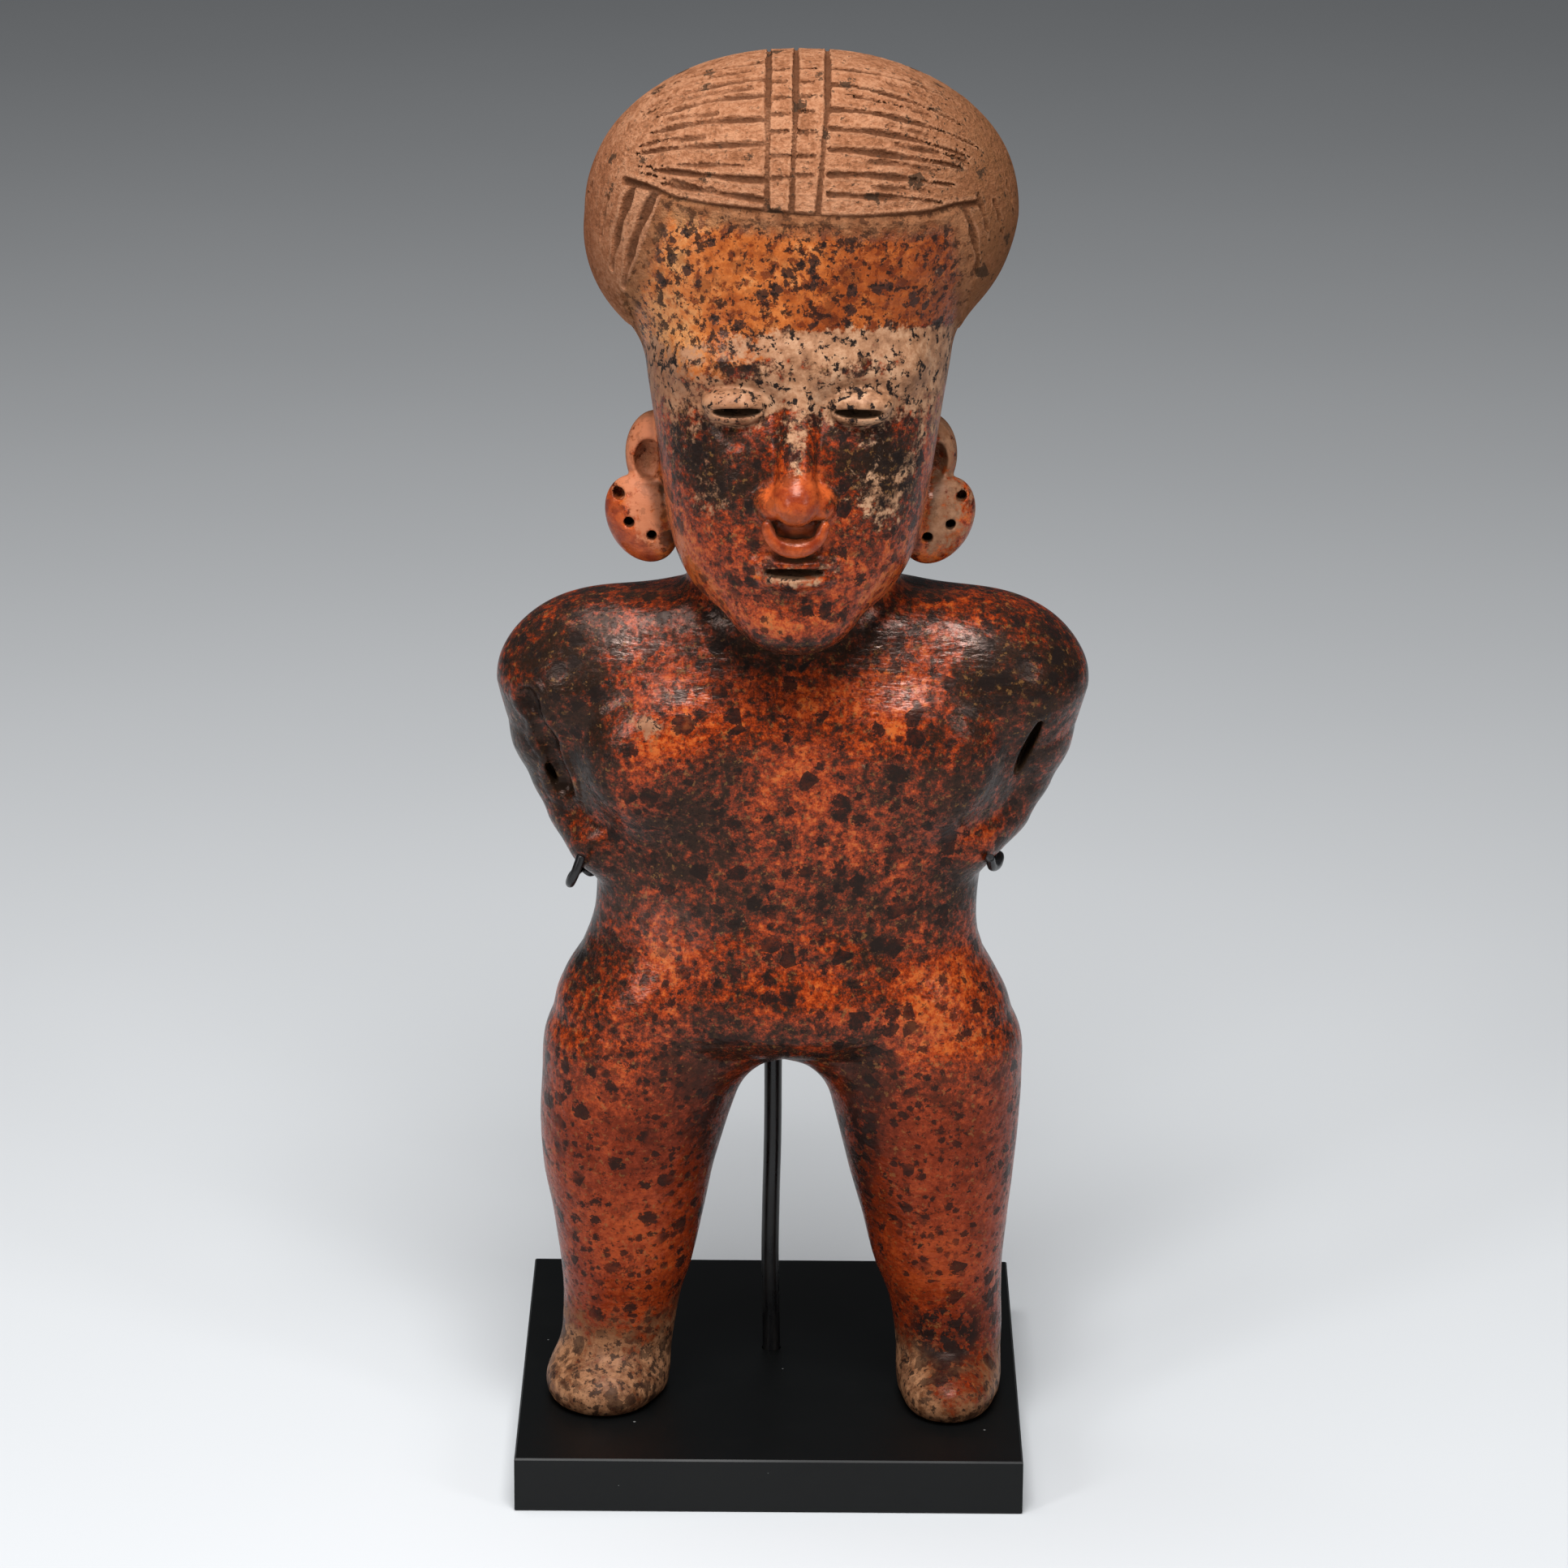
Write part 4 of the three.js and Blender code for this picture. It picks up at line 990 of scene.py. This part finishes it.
def even_steps(low, high, step):
    """Evenly spaced places from low past high, in whole blocks."""
    blocks = math.ceil((high - low) / (step * GRID_BLOCK))
    return low + step * np.arange(blocks * GRID_BLOCK + 1)


def make_figure():
    axes = [even_steps(low, high, GRID_STEP) for low, high in zip(PLAN_LOW, PLAN_HIGH)]
    lower = even_steps(PLAN_LOW[2], BODY_LEVEL, BODY_STEP)
    axes[2] = np.concatenate([lower, even_steps(lower[-1], PLAN_HIGH[2], GRID_STEP)[1:]])
    points, quads = skin_of_grid(values_near_skin(clay, axes), axes)
    points, faces = thinned(points, quads, MOST_TRIANGLES)
    points = settle(clay, points, steps=3, longest=0.4)
    slopes = gradient(clay, points, reach=0.12)
    normals = slopes / np.maximum(np.linalg.norm(slopes, axis=1, keepdims=True), 1e-9)
    piece = new_object("clay_figure", placed(points).tolist(), faces)
    mesh = piece.data
    mesh.polygons.foreach_set("use_smooth", np.ones(len(mesh.polygons), bool))
    mesh.normals_split_custom_set_from_vertices(placed_directions(normals).tolist())
    x, y, z = points.T
    bright, dark, legs_part, forehead = tones(x, y, z)
    near_hollow = hollowness(points, normals, reach=3)
    far_hollow = hollowness(points, normals, reach=12)
    groove = trail_depth(x, y, z, HAIR_TRAILS) / STROKE_DEPTH
    paint(mesh, "tone", [bright, dark, buff_share(x, y, z), slip_share(x, y, z)])
    paint(mesh, "place", [0.5 + hair_reach(x, y, z) / 20, groove, legs_part, forehead])
    burnished = step_up(-y, -6, 10) * patches(x, z, BURNISHED)
    paint(mesh, "hollow", [near_hollow, far_hollow, ear_share(x, y, z), burnished])
    return piece


# The rod and its wire


def bent_path(points, samples=10):
    """Points along a smooth curve through the points given."""
    points = np.array(points, float)
    ends = np.concatenate([[2 * points[0] - points[1]], points, [2 * points[-1] - points[-2]]])
    path = []
    for i in range(1, len(points)):
        p0, p1, p2, p3 = ends[i - 1 : i + 3]
        knots = np.cumsum([0] + [np.sqrt(np.linalg.norm(b - a)) for a, b in ((p0, p1), (p1, p2), (p2, p3))])

        def at(t, a, b, first, last):
            start, end = knots[first], knots[last]
            return ((end - t) * a + (t - start) * b) / (end - start)

        for t in np.linspace(knots[1], knots[2], samples, endpoint=False):
            middle = at(t, p1, p2, 1, 2)
            before = at(t, at(t, p0, p1, 0, 1), middle, 0, 2)
            after = at(t, middle, at(t, p2, p3, 2, 3), 1, 3)
            path.append(at(t, before, after, 1, 2))
    return np.array(path + [points[-1]])


def round_bar(path, radius, sides, rounding):
    """Points and faces of a round bar along a path, its two ends slightly rounded off."""
    tangents = np.gradient(path, axis=0)
    tangents /= np.linalg.norm(tangents, axis=1, keepdims=True)
    start, end = path[0], path[-1]
    rings = [(start, tangents[0], radius - rounding), (start + tangents[0] * rounding, tangents[0], radius)]
    rings += [(p, t, radius) for p, t in zip(path[1:-1], tangents[1:-1])]
    rings += [(end - tangents[-1] * rounding, tangents[-1], radius), (end, tangents[-1], radius - rounding)]
    side = np.cross(tangents[0], [0.3, 1, 0.2])
    angles = np.linspace(0, 2 * np.pi, sides, endpoint=False)
    points = []
    for middle, along, size in rings:
        side = side - along * (side @ along)
        side /= np.linalg.norm(side)
        other = np.cross(along, side)
        points += [middle + size * (np.cos(a) * side + np.sin(a) * other) for a in angles]
    faces = []
    for ring in range(len(rings) - 1):
        for i in range(sides):
            a, b = ring * sides + i, ring * sides + (i + 1) % sides
            faces.append((a, b, b + sides, a + sides))
    last = (len(rings) - 1) * sides
    faces.append(tuple(range(sides - 1, -1, -1)))
    faces.append(tuple(range(last, last + sides)))
    return points, faces


def skin_radius(form, middle, z, angle, reach):
    """How far out from a middle, along an angle, the skin of a form lies at height z."""
    inside, outside = 0.0, reach
    for _ in range(24):
        half = (inside + outside) / 2
        x = middle[0] + half * math.cos(angle)
        y = middle[1] + half * math.sin(angle)
        if form(*np.array([[x], [y], [z]]))[0] < 0:
            inside = half
        else:
            outside = half
    return inside


def clear_of_body(points, diameter):
    """The same points of the plan, moved out of the body where a bar would touch it."""
    needed = diameter / 2 + 3 * TOUCH_GAP
    points = np.array(points, float)
    size = np.linalg.norm(gradient(clay, points), axis=1)
    close = clay(*points.T) / size < needed
    if close.any():
        points[close] = settle(clay, points[close], needed)
    return points


def post_path():
    bottom = BLOCK_HEIGHT - SOCKET_DEPTH + TOUCH_GAP
    bend = BLOCK_HEIGHT + ROD_STRAIGHT
    straight = [(ROD_OFFSET, ROD_BACK, bottom)]
    for share in (0, 0.2, 0.45, 0.7, 1):
        aside = ROD_BOW * math.sin(share * math.pi) ** 2
        straight.append((ROD_OFFSET - aside, ROD_BACK, mix(BLOCK_HEIGHT, bend, share)))
    behind = []
    for z in (*ROD_BEHIND_LEVELS, WIRE_LEVEL):
        back = skin_radius(torso, (0, 0), z, math.pi / 2, reach=80)
        y = back + ROD_DIAMETER / 2 + 3 * TOUCH_GAP
        x = ROD_OFFSET - FIGURE_OFFSET - LEAN * z
        behind.append((x, max(y, ROD_BACK + FIGURE_FORWARD), z))
    behind = placed(clear_of_body(behind, ROD_DIAMETER)) * 1000
    return bent_path(straight + behind.tolist()) / 1000


def wire_path():
    around = []
    for i in range(WIRE_POINTS):
        share = i / (WIRE_POINTS - 1)
        angle = mix(math.pi, 0, share)
        z = WIRE_LEVEL + mix(-WIRE_CLIMB, WIRE_CLIMB, share) / 2
        radius = skin_radius(torso, WIRE_MIDDLE, z, angle, reach=100) + WIRE_DIAMETER / 2 + TOUCH_GAP
        around.append((radius * math.cos(angle), WIRE_MIDDLE[1] + radius * math.sin(angle), z))
    return bent_path(placed(clear_of_body(LEFT_HOOK + around + RIGHT_HOOK, WIRE_DIAMETER)))


def make_rod():
    """The post and the wire brazed to its top, as one piece."""
    post_points, post_faces = round_bar(post_path(), ROD_DIAMETER / 2000, BAR_SIDES, BAR_ROUNDING / 1000)
    wire_points, wire_faces = round_bar(wire_path(), WIRE_DIAMETER / 2000, WIRE_SIDES, WIRE_ROUNDING / 1000)
    shift = len(post_points)
    faces = post_faces + [tuple(i + shift for i in face) for face in wire_faces]
    piece = new_object("steel_rod", [tuple(p) for p in post_points + wire_points], faces)
    piece.data.polygons.foreach_set("use_smooth", np.array([len(f) == 4 for f in faces]))
    return piece


# Building materials


class Number:
    """A number in a material, with plain arithmetic that adds nodes."""

    def __init__(self, nodes, socket):
        self.nodes = nodes
        self.socket = socket

    def __add__(self, other):
        return self.nodes.math("ADD", self, other)

    def __sub__(self, other):
        return self.nodes.math("SUBTRACT", self, other)

    def __rsub__(self, other):
        return self.nodes.math("SUBTRACT", other, self)

    def __mul__(self, other):
        return self.nodes.math("MULTIPLY", self, other)

    def most(self, other):
        """The larger of the two."""
        return self.nodes.math("MAXIMUM", self, other)


class Nodes:
    """A material, and short words for the nodes that it is built of."""

    def __init__(self, name):
        self.material = bpy.data.materials.new(name)
        self.material.use_nodes = True
        self.tree = self.material.node_tree
        self.place = self.add("TexCoord", {}).outputs["Object"]

    def feed(self, node, inputs):
        """Links or sets a node's inputs, given by name or number."""
        for key, value in inputs.items():
            if isinstance(value, Number):
                value = value.socket
            if isinstance(value, bpy.types.NodeSocket):
                self.tree.links.new(value, node.inputs[key])
            else:
                node.inputs[key].default_value = value

    def add(self, kind, inputs, **settings):
        node = self.tree.nodes.new("ShaderNode" + kind)
        for key, value in settings.items():
            setattr(node, key, value)
        self.feed(node, inputs)
        return node

    def finish(self, inputs):
        """Gives the surface its inputs, and returns the material."""
        self.feed(self.tree.nodes["Principled BSDF"], inputs)
        return self.material

    def math(self, operation, a, b, clamp=False):
        node = self.add("Math", {0: a, 1: b}, operation=operation, use_clamp=clamp)
        return Number(self, node.outputs[0])

    def stretched(self, stretch):
        if stretch is None:
            return self.place
        return self.add("Mapping", {"Vector": self.place, "Scale": stretch}).outputs[0]

    def noise(self, scale, detail, roughness=0.55, distortion=0, stretch=None):
        """A soft noise about 0.5, with its scale in waves per metre."""
        inputs = {"Scale": scale, "Detail": detail, "Roughness": roughness, "Distortion": distortion}
        node = self.add("TexNoise", {"Vector": self.stretched(stretch), **inputs})
        return Number(self, node.outputs["Fac"])

    def cells(self, scale, stretch=None):
        """How far the middle of the nearest cell is, and three random numbers of that cell."""
        node = self.add("TexVoronoi", {"Vector": self.stretched(stretch), "Scale": scale})
        return Number(self, node.outputs["Distance"]), self.channels(node.outputs["Color"])

    def channels(self, colour):
        return [Number(self, output) for output in self.add("SeparateColor", {0: colour}).outputs]

    def painted(self, name):
        """The four numbers kept on the mesh under a name."""
        node = self.add("Attribute", {}, attribute_name=name)
        return [*self.channels(node.outputs["Color"]), Number(self, node.outputs["Alpha"])]

    def between(self, value, low, high, start=0, end=1):
        """A smooth step, from start at low to end at high."""
        inputs = {"Value": value, "From Min": low, "From Max": high, "To Min": start, "To Max": end}
        node = self.add("MapRange", inputs, interpolation_type="SMOOTHSTEP")
        return Number(self, node.outputs["Result"])

    def ramp(self, value, stops):
        """A colour between the stops, each a place from 0 to 1 and a colour."""
        node = self.add("ValToRGB", {0: value})
        elements = node.color_ramp.elements
        while len(elements) < len(stops):
            elements.new(0.5)
        for element, (position, colour) in zip(elements, stops):
            element.position = position
            element.color = (*colour, 1)
        return node.outputs[0]

    def mixed(self, share, a, b):
        """A colour that goes from a to b with the share."""
        a, b = [c if isinstance(c, bpy.types.NodeSocket) else (*c, 1) for c in (a, b)]
        return self.add("Mix", {0: share, 6: a, 7: b}, data_type="RGBA").outputs[2]

    def bumped(self, height, strength, distance):
        return self.add("Bump", {"Height": height, "Strength": strength, "Distance": distance}).outputs[0]


def weighed(*parts):
    """The sum of the parts, each first moved to lie about 0 and then weighed, moved back to 0.5."""
    total = 0.5
    for value, weight in parts:
        total = (value - 0.5) * weight + total
    return total


def flecks(n, scale, threshold, detail=5, edge=0.03):
    """Ragged flecks where a fine noise rises above a threshold."""
    return n.between(n.noise(scale, detail, 0.7, 0.15) - threshold, -edge / 2, edge / 2)


def spots(n, scale, size, share, edge=0.06, stretch=None):
    """Spots of many sizes with ragged edges, on a share of the cells."""
    wobble = n.noise(scale * 3.2, 4, 0.75, stretch=stretch)
    distance, (chance, *_) = n.cells(scale, stretch)
    radius = (chance - (1 - share)) * (size / share)
    return n.between(radius - ((wobble - 0.5) * 1.5 + distance), -edge, edge)


# The clay's material


class Clay(Nodes):
    """The clay, with the painted numbers and the noises that its layers share."""

    def __init__(self):
        super().__init__("burnished clay")
        self.bright, self.dark, self.buff, self.slip = self.painted("tone")
        self.hair_place, self.groove, self.legs, self.forehead = self.painted("place")
        self.near_hollow, self.far_hollow, self.ear, self.burnished = self.painted("hollow")
        self.broad = self.noise(38, 3)
        self.middle = self.noise(115, 6, 0.68, 0.3)
        self.small = self.noise(330, 5, 0.7)
        self.grain = self.noise(700, 4, 0.65)
        self.mottle = weighed((self.middle, 1.1), (self.small, 0.9))
        self.across = Number(self, self.add("SeparateXYZ", {0: self.place}).outputs[0])


def body_slip(n):
    """The slip of the body, from smoky brown through deep red to orange, and how light it is."""
    # The bright and dark shares hold painted highlights and painted shade besides the slip's own tones
    tone = n.bright - n.dark + 0.5
    wide = n.noise(130, 8, 0.72, 0.2)
    fine = n.noise(360, 5, 0.78)
    streaks = n.noise(150, 4, 0.6, stretch=(0.5, 1, 1.6))
    level = weighed((n.broad, 0.65), (wide, 0.9), (fine, 1.6), (tone, 0.15))
    calm = weighed((n.broad, 0.5), (wide, 0.5), (fine, 0.9), (streaks, 0.3), (tone, 0.14))
    body = n.ramp(n.between(level, 0.1, 0.95), BODY_COLOURS)
    leg = n.ramp(n.between(calm, 0.1, 0.9), LEG_COLOURS)
    ochre = flecks(n, 420, 0.66 - n.noise(22, 2) * 0.10)
    return n.mixed(ochre * 0.45, n.mixed(n.legs, body, leg), OCHRE), level


def worn_forehead(n):
    """Worn orange with ragged red-brown blotches, more of them to the right, and jagged dark spots."""
    leftward = n.between(n.across, -0.05, 0.05, 0.66, 0.30)
    level = weighed((n.broad, 0.8), (n.mottle, 0.8), (leftward, 0.9))
    orange = n.ramp(n.between(level, 0.2, 0.85), FOREHEAD_COLOURS)
    threshold = n.between(n.across, -0.05, 0.04, 0.575, 0.530)
    orange = n.mixed(flecks(n, 290, threshold, 7, 0.04) * 0.85, orange, BLOTCH)
    return n.mixed(spots(n, 240, 0.6, 0.45, 0.035) * 0.92, orange, JAGGED_SPOT)


def bare_share(n):
    """Where the clay is bare: ragged at the edges, and more gradual on the feet."""
    soft = n.legs * 0.12
    ragged = weighed((n.buff - n.slip * 0.7, 1), (n.middle, 1.2), (n.small, 1.5))
    return n.between(ragged, 0.34 - soft, soft + 0.64)


def bare_clay(n):
    """Buff clay, brown on the feet, ankles, left brow and right ear, and orange on the left ear."""
    pale = n.ramp(n.between(n.mottle, 0.2, 0.8), BUFF_COLOURS)
    pale = n.mixed(n.legs * 0.9, pale, n.mixed(n.between(n.mottle, 0.3, 0.7), *FOOT_COLOURS))
    pale = n.mixed(n.legs * n.between(n.buff, 0.45, 1, 0.9, 0), pale, BARE_ANKLE)
    pale = n.mixed(n.between(n.across, -0.03, 0.015, 0.55, 0) * (1 - n.legs), pale, LEFT_BROW)
    pale = n.mixed(n.ear * n.between(n.across, -0.03, 0.03, 0.75, 0), pale, LEFT_EAR_CLAY)
    return n.mixed(n.ear * n.between(n.across, 0, 0.03, 0, 0.55), pale, RIGHT_EAR_CLAY)


def body_spots(n):
    """Ragged round spots of two sizes, each crowded in places of its own, and fine specks."""
    flat = (1, 1, 1.1)
    thick = n.noise(26, 3, 0.6)
    large = spots(n, 165, 0.70, 0.5, 0.03, flat) * n.between(thick, 0.38, 0.5, 0.35, 1)
    small = spots(n, 350, 0.64, 0.45, 0.04, flat) * n.between(thick, 0.62, 0.45, 0.3, 0.95)
    specks = flecks(n, 620, 0.60) * 0.75
    return large.most(small.most(specks)) * n.between(n.bright, 0.8, 1.8, 1, 0.85)


def ragged_specks(n, bare, forehead):
    """Ragged dark specks on the forehead and the bare clay, few of them on the ears."""
    threshold = n.between(n.broad, 0.3, 0.8, 0.575, 0.54) - forehead * 0.012
    fewer = (n.ear * 0.75).most(n.legs * 0.15)
    return flecks(n, 300, threshold, 7, 0.025) * (forehead * 0.9).most(bare) * (1 - fewer)


def dark_marks(n, bare, forehead, specks):
    """All the dark marks: the body's spots, the blots on the legs and the specks."""
    spared = bare * n.between(n.legs, 0, 1, 1, 0.25)
    marks = body_spots(n) * (1 - spared) * n.between(forehead, 0, 1, 0.9, 0.35)
    blots = flecks(n, 190, 0.495, 7) * n.between(n.dark, 0.7, 1.7, 0, 0.95) * n.legs
    return marks.most(blots).most(specks) * n.between(n.slip, 0.2, 0.8, 1, 0.3)


def matt_hair(n):
    """Sandy hair, redder at the left and browner at the right, with painted shade in its cuts and a painted
    highlight on their burrs.
    """
    sandy = weighed((n.mottle, 1), (n.grain, 1.1))
    colour = n.ramp(n.between(sandy, 0.15, 0.8), HAIR_COLOURS)
    worn = n.between(n.across, 0.035, 0.075) * n.between(n.mottle, 0.3, 0.6, 0.4, 0.9)
    colour = n.mixed(worn, colour, RIGHT_HAIR)
    colour = n.mixed(n.between(n.across, -0.045, -0.07, 0, 0.7), colour, LEFT_HAIR)
    # Painted shade in the cuts and a painted highlight on their burrs
    colour = n.mixed(n.between(n.groove, 0.05, 0.6, 0, 0.85), colour, HAIR_CUT_SHADE)
    colour = n.mixed(n.between(n.groove, -0.08, 0, 0.35, 0), colour, HAIR_BURR_HIGHLIGHT)
    pits = spots(n, 130, 0.5, 0.22) * 0.85
    specks = flecks(n, 460, 0.62) * n.between(n.across, -0.05, 0.07, 0.5, 1)
    return n.mixed(pits.most(specks), colour, HAIR_SPECK)


def clay_roughness(n, level, bare, dirt_and_shade, margin, in_hair):
    rough = n.between(level, 0.3, 0.8, 0.24, 0.30) + (n.small - 0.5) * 0.30
    rough = (rough + bare * 0.22 + dirt_and_shade * 0.25).most(margin * 0.75)
    return n.math("MAXIMUM", rough, in_hair * 0.9, clamp=True)


def clay_shine(n, level, marks):
    """More shine where the slip is light, less on the marks and legs, most where it is burnished."""
    shine = n.between(level, 0.25, 0.75, 0.20, 0.42) * (1 - marks) + marks * 0.12
    polish = n.noise(240, 5, 0.7, stretch=(1, 1, 0.5))
    polish = n.between(polish, 0.35, 0.65, 0.15, 0.75)
    return shine * n.between(n.legs, 0, 1, 1, 0.6) + n.burnished * polish


def clay_relief(n, marks, in_hair, matt):
    """Facets of burnishing, pits at the marks, and the open grain of the matt clay."""
    rubbed = n.noise(330, 3, 0.6, stretch=(0.3, 1, 0.8))
    dragged = n.noise(620, 4, 0.7, stretch=(0.22, 1, 1))
    smooth = (1 - in_hair) * (rubbed * 0.9) - marks * 0.12
    coarse = n.small * n.between(n.across, 0, 0.06, 1.5, 5)
    grain = dragged * 2.2 + n.grain * 3.4 + coarse
    return n.bumped(smooth + matt * grain, 0.8, 0.0006)


def clay_material():
    n = Clay()

    # Slip, worn through on the forehead and in bare places
    colour, level = body_slip(n)
    forehead = n.between(weighed((n.forehead, 1), (n.mottle, 0.9)), 0.40, 0.60)
    colour = n.mixed(forehead, colour, worn_forehead(n))
    fresh = n.mixed(n.between(n.middle, 0.35, 0.65), *FRESH_SLIP)
    colour = n.mixed(n.between(weighed((n.slip, 1), (n.mottle, 0.8)), 0.35, 0.7), colour, fresh)
    bare = bare_share(n)
    colour = n.mixed(bare, colour, bare_clay(n))

    # Marks, dirt and painted shade in the narrow hollows, and painted shade in the deep ones
    specks = ragged_specks(n, bare, forehead)
    marks = dark_marks(n, bare, forehead, specks)
    colour = n.mixed(marks, colour, MARK)
    # Darker in the narrow hollows: dirt and painted shade
    dirt_and_shade = n.between(n.near_hollow, 0.5, 1) * n.between(n.middle, 0.3, 0.6, 0.45, 0.9)
    colour = n.mixed(dirt_and_shade, colour, DIRT_AND_SHADE)
    colour = n.mixed(n.between(n.far_hollow, 0.35, 0.9) * 0.55, colour, SHADE)

    # The unburnished margin below the edge of the hair, and the matt hair
    margin = n.between(weighed((n.hair_place, 1), (n.mottle, 0.22)), 0.08, 0.38, 0, 0.9)
    unburnished = n.mixed(n.between(n.mottle, 0.35, 0.65), *MARGIN_COLOURS)
    colour = n.mixed(margin * (1 - specks * 0.7), colour, unburnished)
    in_hair = n.between(weighed((n.hair_place, 1), (n.small, 0.09)), 0.49, 0.515)
    colour = n.mixed(in_hair, colour, matt_hair(n))
    matt = in_hair.most(margin)

    return n.finish({
        "Base Color": colour,
        "Roughness": clay_roughness(n, level, bare, dirt_and_shade, margin, in_hair),
        "Specular IOR Level": n.between(matt, 0, 1, clay_shine(n, level, marks), 0.06),
        "Specular Tint": (1, 0.72, 0.62, 1),
        "Normal": clay_relief(n, marks, in_hair, matt),
    })


# The other materials


def block_material():
    """Satin black, with a faint haze and grains of dust."""
    n = Nodes("satin black")
    distance, (chance, size, _) = n.cells(210)
    dust = n.between(chance, 0.955, 0.965) * n.between(size * 0.10 - distance, -0.01, 0.01)
    haze = n.between(n.noise(60, 6, 0.7), 0.5, 0.75, 0, 0.25)
    return n.finish({
        "Base Color": n.mixed(dust * 0.55, n.mixed(haze, *BLOCK_COLOURS), DUST),
        "Roughness": n.between(n.noise(14, 3, 0.5), 0.3, 0.7, 0.40, 0.52),
        "Specular IOR Level": 0.25,
        "Normal": n.bumped(n.noise(1500, 2, 0.5), 0.12, 0.0001),
    })


def rod_material():
    """Blackened steel, worn in streaks along the rod."""
    n = Nodes("blackened steel")
    wear = n.noise(260, 4, 0.6, stretch=(1, 1, 0.25))
    return n.finish({
        "Base Color": n.mixed(n.between(wear, 0.35, 0.75), *STEEL_COLOURS),
        "Roughness": n.between(wear, 0.3, 0.7, 0.24, 0.38),
        "Metallic": 0.25,
        "Normal": n.bumped(n.noise(900, 3, 0.6), 0.15, 0.0001),
    })


def floor_material():
    n = Nodes("pale floor")
    return n.finish({"Base Color": n.mixed(n.noise(3, 2, 0.5), *FLOOR_COLOURS), "Roughness": 0.75})


# The stage


def make_floor():
    corners = [(FLOOR_HALF * x, FLOOR_HALF * y, 0) for x, y in ((-1, -1), (1, -1), (1, 1), (-1, 1))]
    floor = new_object("floor", corners, [(0, 1, 2, 3)])
    floor.data.materials.append(floor_material())


def soft_light(name, at, aim, size, power):
    light = bpy.data.lights.new(name, "AREA")
    light.shape = "RECTANGLE"
    light.size, light.size_y = size
    light.energy = power
    lamp = bpy.data.objects.new(name, light)
    lamp.location = at
    lamp.rotation_euler = (Vector(aim) - Vector(at)).to_track_quat("-Z", "Y").to_euler()
    bpy.context.scene.collection.objects.link(lamp)


def make_lights():
    for name, lamp in LAMPS.items():
        soft_light(name, *lamp)
    world = bpy.data.worlds.new("soft room")
    world.use_nodes = True
    background = world.node_tree.nodes["Background"]
    background.inputs["Color"].default_value = ROOM_COLOUR
    background.inputs["Strength"].default_value = ROOM_LIGHT
    bpy.context.scene.world = world


def make_camera():
    camera = bpy.data.cameras.new("camera")
    camera.sensor_width = CAMERA_FILM
    camera.lens = CAMERA_LENS
    camera.clip_end = CAMERA_REACH
    eye = bpy.data.objects.new("camera", camera)
    pitch = Matrix.Rotation(math.radians(90 - CAMERA_DOWN), 4, "X")
    roll = Matrix.Rotation(math.radians(CAMERA_ROLL), 4, "Z")
    eye.matrix_world = Matrix.Translation(CAMERA_PLACE) @ pitch @ roll
    bpy.context.scene.collection.objects.link(eye)
    bpy.context.scene.camera = eye


def keep(piece, node, slot, material):
    """Gives a piece its material and lets it stand for a solid."""
    piece.data.materials.append(material)
    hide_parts(node)
    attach(piece, "root")


keep(make_figure(), "figure", "burnished_clay", clay_material())
keep(make_rod(), "support_rod", "blackened_steel", rod_material())
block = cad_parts["base"]
block.data.materials.clear()
block.data.materials.append(block_material())
make_floor()
make_lights()
make_camera()
bpy.context.scene.view_settings.view_transform = "Standard"
